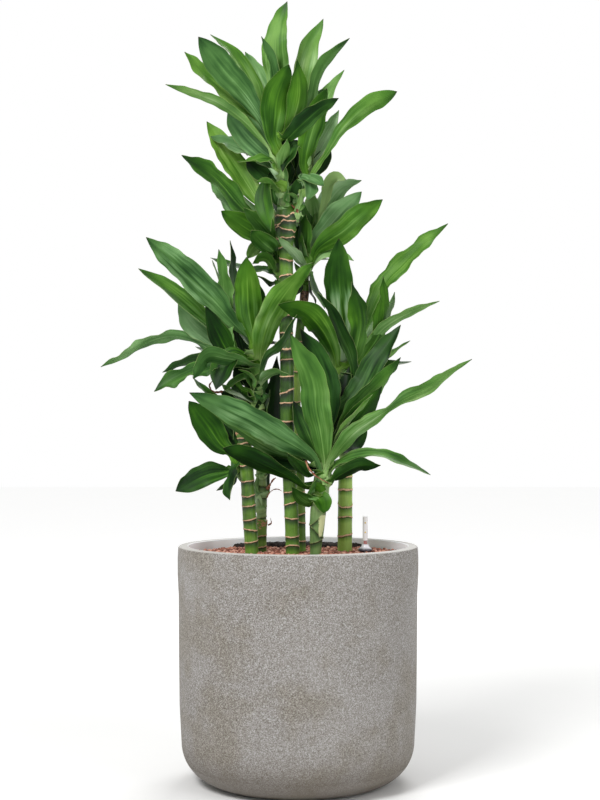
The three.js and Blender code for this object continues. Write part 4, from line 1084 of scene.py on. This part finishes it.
leafChanges = {  # what differs on single leaves; a painted sheen is [from, to, strength] along the leaf, a lighter and greyer band painted into the blade's colour
    "sheen": {"rightLeaf1": (0.02, 0.58, 2.4), "leftLeaf1": (0.45, 0.85, 0.9),
              "leftLeaf2": (0.3, 0.6, 0.5), "frontLeaf6": (0.35, 0.8, 0.8),
              "frontLeaf1": (0.3, 0.75, 0.7), "frontLeaf7": (0.5, 0.7, 0.3),
              "topLeftLeaf6": (0, 0.1, 0)},
    "wave": {"rightLeaf1": 0.03, "frontLeaf5": 0.08, "frontLeaf6": 0.07, "leftLeaf4": 0.16,
             "leftLeaf5": 0.1, "topRightLeaf3": 0.08, "middleLeaf3": 0.05, "topLeftLeaf8": 0.1,
             "topLeftLeaf5": 0.1, "leftLeaf7": 0.12, "leftLeaf8": 0.16, "rightLeaf2": 0.12,
             "rightLeaf3": 0.05, "rightLeaf4": 0.09, "frontLeaf3": 0.08, "frontLeaf4": 0.05,
             "topRightLeaf4": 0.1, "middleLeaf2": 0.1, "behindLeaf2": 0.1, "topRightSmall5": 0.16,
             "rightSmall1": 0.12, "rightSmall3": 0.12},
    "bias": {"topLeftLeaf2": 1.35, "frontLeaf5": 0.9, "frontLeaf7": 1.5, "leftLeaf4": 1.2,
             "leftSmall10": 1.3, "topRightLeaf3": 2.2, "middleLeaf3": 2.6, "topLeftLeaf8": 0.75,
             "leftLeaf7": 0.72, "rightLeaf3": 0.75, "frontLeaf3": 0.65},
    "pinch": {"frontLeaf3": 0.62},
}


def readTable(table, place):  # a smooth line through the table's points
    last = len(table) - 1
    row = min(max(bisect_right(table, (place, 9)) - 1, 0), last - 1)

    def slope(i):
        if i == 0 or i == last:
            a, b = (0, 1) if i == 0 else (last - 1, last)
            return (table[b][1] - table[a][1]) / (table[b][0] - table[a][0])
        before, after = table[i][0] - table[i - 1][0], table[i + 1][0] - table[i][0]
        return ((table[i][1] - table[i - 1][1]) / before * after
                + (table[i + 1][1] - table[i][1]) / after * before) / (before + after)

    width = table[row + 1][0] - table[row][0]
    share = (place - table[row][0]) / width
    low, high, leave, arrive = table[row][1], table[row + 1][1], slope(row) * width, slope(row + 1) * width
    return (low * (1 + 2 * share) * (1 - share) ** 2 + leave * share * (1 - share) ** 2
            + high * share ** 2 * (3 - 2 * share) + arrive * share ** 2 * (share - 1))


class Route:  # the line a midrib follows, read by share of its length
    def __init__(self, points):
        count = curves["samples"] * (len(points) - 1)
        self.points = [curvePoint(points, i / curves["samples"]) for i in range(count + 1)]
        self.lengths = [0]
        for start, end in zip(self.points, self.points[1:]):
            self.lengths.append(self.lengths[-1] + (end - start).length)
        self.length = self.lengths[-1]

    def point(self, share):
        goal = min(max(share, 0), 1) * self.length
        i = min(bisect_right(self.lengths, goal), len(self.lengths) - 1)
        step = self.lengths[i] - self.lengths[i - 1]
        return self.points[i - 1].lerp(self.points[i], (goal - self.lengths[i - 1]) / step)

    def along(self, share):
        step = curves["leafStep"]
        return (self.point(share + step) - self.point(share - step)).normalized()


def leafRoute(stem, height, depth, route):  # leaves the stem upwards and passes through the route's points
    start = stem.findSeen(height)
    origin = stem.point(start)
    rise = stem.find(origin.z + blade["rise"])
    corners = [(origin.x, height), *route]
    lengths = [0]
    for before, after in zip(corners, corners[1:]):
        lengths.append(lengths[-1] + math.dist(before, after))
    points = [seen(across, up, origin.y + depth * (length / lengths[-1]) ** blade["bow"])
              for (across, up), length in zip(route, lengths[1:])]
    outward = Vector((points[-1].x - origin.x, points[-1].y - origin.y, 0)).normalized()
    clear = [stem.radius(share) * blade["stemRoundness"] + blade["stand"] for share in (start, rise)]
    points = [origin + outward * clear[0], stem.point(rise) + outward * (clear[1] + blade["lift"])] + points
    return Route(points), outward, clear[0]


def bladeSides(route, outward, shareSeen, shares):  # which way the blade's width lies at each share
    lean = math.acos(min(1, shareSeen))
    options, naturals, alongs = [], [], [route.along(share) for share in shares]
    for along in alongs:
        across = Vector((0, 1, 0)).cross(along)
        across = across.normalized() if across.length > 0.01 else Vector((1, 0, 0))
        towards = along.cross(across).normalized()
        options.append([across * a * math.cos(lean) + towards * b * math.sin(lean)
                        for a, b in ((1, 1), (1, -1), (-1, 1), (-1, -1))])
        natural = outward.cross(Vector((0, 0, 1)))
        naturals.append((natural - along * natural.dot(along)).normalized())
    middle = round(0.56 * (len(shares) - 1))
    chosen = [None] * len(shares)
    chosen[middle] = max(options[middle], key=naturals[middle].dot)
    for i in range(middle + 1, len(shares)):
        chosen[i] = max(options[i], key=chosen[i - 1].dot)
    for i in range(middle - 1, -1, -1):
        chosen[i] = max(options[i], key=chosen[i + 1].dot)
    sides = [natural.lerp(side, smoothStep(share, 0, blade["twistEnd"]))
             for natural, side, share in zip(naturals, chosen, shares)]
    evened = []
    for i, along in enumerate(alongs):
        near = sides[max(0, i - 2):i + 3]
        side = sum(near, Vector()) / len(near)
        evened.append((side - along * side.dot(along)).normalized())
    return evened, alongs


blanks = {"large": addGrid("leafBlank", *blade["mesh"]),
          "small": addGrid("smallLeafBlank", *blade["smallMesh"])}
for blank in blanks.values():
    for material in leafFinishes:
        blank.data.materials.append(material)


def layLeaf(name, stem, leaf, size):
    chance = random.Random(name)
    height, width, seenWidth, depth, tone, grey, *route = leaf
    look = {trait: chance.uniform(*blade[trait]) for trait in ("fold", "wave", "hollow")}
    look["phases"] = [chance.uniform(0, 6.28) for _ in range(4)]
    look["waveLengths"] = [chance.uniform(*blade["waveLength"]) for _ in range(2)]
    # Each leaf also gets a painted sheen, a lighter band at a random place along it.
    sheenPlace = chance.uniform(0.2, 0.6)
    look["sheen"] = sheenPlace - 0.15, sheenPlace + 0.2, chance.uniform(0.1, 0.6)
    look |= {"bias": 1, "pinch": 0}
    look |= {trait: changed[name] for trait, changed in leafChanges.items() if name in changed}
    first, last, paintedSheenAmount = look["sheen"]
    route, outward, rootRadius = leafRoute(stem, height, depth, list(zip(route[::2], route[1::2])))
    rows = blade["mesh" if size == "large" else "smallMesh"][1]
    edgeLine = outlines["sheath" if size == "small" and route.length <= blade["sheathTo"] else size]
    shares = [i / rows for i in range(rows + 1)]
    sides, alongs = bladeSides(route, outward, seenWidth / width, shares)
    distances = []  # from the stem's axis
    for share in shares:
        point = route.point(share)
        away = point - stem.point(stem.find(point.z))
        distances.append(max(rootRadius, math.hypot(away.x, away.y)))
    piece = copied(blanks[size])
    piece.name = piece.data.name = name
    marks, grain, paintedSheens = [], [], []
    for vertex in piece.data.vertices:
        across, row = vertex.co.x * 2, round((vertex.co.y + 0.5) * rows)
        share = shares[row]
        along, side = alongs[row], sides[row]
        facing = side.cross(along)
        half = width / 2 * readTable(edgeLine, share ** look["bias"])
        half *= 1 - look["pinch"] * math.exp(-((share - blade["pinchAt"]) / 0.1) ** 2)
        edge = 1 if across > 0 else 0
        reach = share * route.length / look["waveLengths"][edge] * 2 * math.pi
        opened = smoothStep(share, *blade["opens"]) * (1 - smoothStep(share, *blade["closes"]))
        edgeWave = (math.sin(reach * 0.7 + look["phases"][2 + edge])
                    + 0.5 * math.sin(reach * 2.3 + look["phases"][edge]))
        half *= 1 + blade["edgeWave"] * opened * edgeWave
        distance, climb = distances[row], share * route.length
        clasp = 1 - smoothStep(climb, 0, min(blade["claspEnd"], 0.2 * route.length))
        half = math.hypot(half, distance * clasp * math.radians(blade["clasp"]))
        bend = blend(1 / distance, 1 / look["hollow"], smoothStep(share, *blade["channel"]))
        turn = across * half * bend
        x, z = math.sin(turn) / bend, (1 - math.cos(turn)) / bend
        z += abs(x) * math.tan(math.radians(look["fold"])) * smoothStep(share, *blade["foldFrom"])
        ripple = (math.sin(reach + look["phases"][edge])
                  + 0.35 * math.sin(reach * 2.6 + look["phases"][3 - edge]))
        z += look["wave"] * width * opened * abs(across) ** 2.2 * ripple
        vertex.co = (route.point(share) + side * x + facing * z) * mm
        marks.append((across, share, grey))
        grain.append((across * width / 2, share * route.length, look["phases"][0] * 9))
        paintedSheens.append(smoothStep(share, first - 0.08, first + 0.08)
                      * (1 - smoothStep(share, last - 0.1, last + 0.1)) * paintedSheenAmount)
    middle = rows // 2
    upperSeen = sides[middle].cross(alongs[middle]).y < 0
    tones = {"upperTone": tone if upperSeen else tone * 0.7,
             "underTone": tone * 0.8 + 0.16 if upperSeen else tone}
    keep(piece.data, "blade", marks, "FLOAT_VECTOR")
    keep(piece.data, "grain", grain, "FLOAT_VECTOR")
    keep(piece.data, "sheen", paintedSheens)
    for attribute, value in tones.items():
        keep(piece.data, attribute, [value] * len(piece.data.vertices))
    thicken(piece, blade["thickness"], -1, under=1, rim=2)
    return piece


def paleOnFront(turn, level):  # the pale patch on the front shoot's sheath
    near = math.cos(turn - 0.8 + (445 - level) * 0.006)
    reach = 1 - (level - 402) / 45 * 0.42
    share = smoothStep(level, 402, 412) * (1 - smoothStep(level, 438, 450))
    return share * smoothStep(near, reach - 0.04, 1.02)


for crown, table in crowns.items():
    chance = random.Random(crown)
    stem, node = Stem(table["stem"]), table["node"]
    rings = table.get("rings", [])
    height, end = table["stem"][0][1] + 7, table["stem"][-1][1] - 4
    while height < end and crown != "front":
        rings.append((height, chance.uniform(-5, 5), chance.uniform(-2, 3)))
        height += chance.uniform(13, 24)
    stemPiece = makeStalk(crown + "Stem", stem, rings, [(0, table["light"])],
                          pale=paleOnFront if crown == "front" else None, roundness=blade["stemRoundness"])
    finish(stemPiece, stemLook, "leaf", node + "_shoot")
    small = [layLeaf(f"{crown}Small{number}", stem, leaf, "small")
             for number, leaf in enumerate(table["small"], 1)]
    finish(joined(crown + "SmallLeaves", small), None, "leaf", node + "_shoot")
    for number, leaf in enumerate(table["large"], 1):
        finish(layLeaf(f"{crown}Leaf{number}", stem, leaf, "large"), None, "leaf", f"{node}_leaf_{number}")
    print(crown, "shoot grown")
for blank in blanks.values():
    bpy.data.objects.remove(blank)

dried = {"mesh": (6, 24), "thickness": 0.6}
driedStrips = {  # width, turns, what they grow from, and the points [across, up, depth] they follow
    "driedFrontStrip": (3, 0.3, "leaf", "front_shoot", [
        [13, 532, -34], [18, 519, -40], [31, 506, -42], [44, 498, -40], [57, 491, -29]]),
    "driedLeftCurl": (2.4, 0.6, "leaf", "left_shoot", [
        [-52, 470, 44], [-47, 479, 40], [-40, 484, 38], [-33, 484, 38], [-27, 481, 38]]),
    "driedLeftTuft": (6, 0.5, "leaf", "left_shoot", [
        [-52, 484, 44], [-47, 492, 38], [-43, 499, 36], [-37, 503, 36]]),
    "driedLeftTip": (5, 0.5, "leaf", "left_shoot", [
        [-126, 647, 66], [-137, 645, 68], [-145, 649, 70], [-148, 657, 70], [-143, 664, 70]]),
    "driedLeftScale": (3, 0.3, "leaf", "left_shoot", [[-50, 424, 46], [-45, 428, 40], [-46, 436, 38]]),
    "driedHeadFlap": (8, 0.3, "cane", "tall_cane", [
        [-6, 938, 6], [-3, 946, 2], [-8, 954, -2], [-12, 958, 0]]),
}
for name, (width, turns, slot, node, points) in driedStrips.items():
    line = Route([seen(*point) for point in points])
    strip = addGrid(name, *dried["mesh"])
    for vertex in strip.data.vertices:
        across, share = vertex.co.x * 2, vertex.co.y + 0.5
        along = line.along(share)
        side = along.cross(Vector((0, 1, 0))).normalized()
        turn = turns * share * 2 * math.pi
        flat = side * math.cos(turn) + side.cross(along) * math.sin(turn)
        belly = 0.25 + 0.75 * math.sin(math.pi * min(1, share + 0.1)) ** 0.6
        reach = width / 2 * belly * (1 + 0.2 * math.sin(share * 31))
        hollow = flat.cross(along) * (across ** 2 * reach * 0.5)
        vertex.co = (line.point(share) + flat * across * reach + hollow) * mm
    thicken(strip, dried["thickness"], 0)
    finish(strip, driedLook, slot, node)
print("dried strips laid")
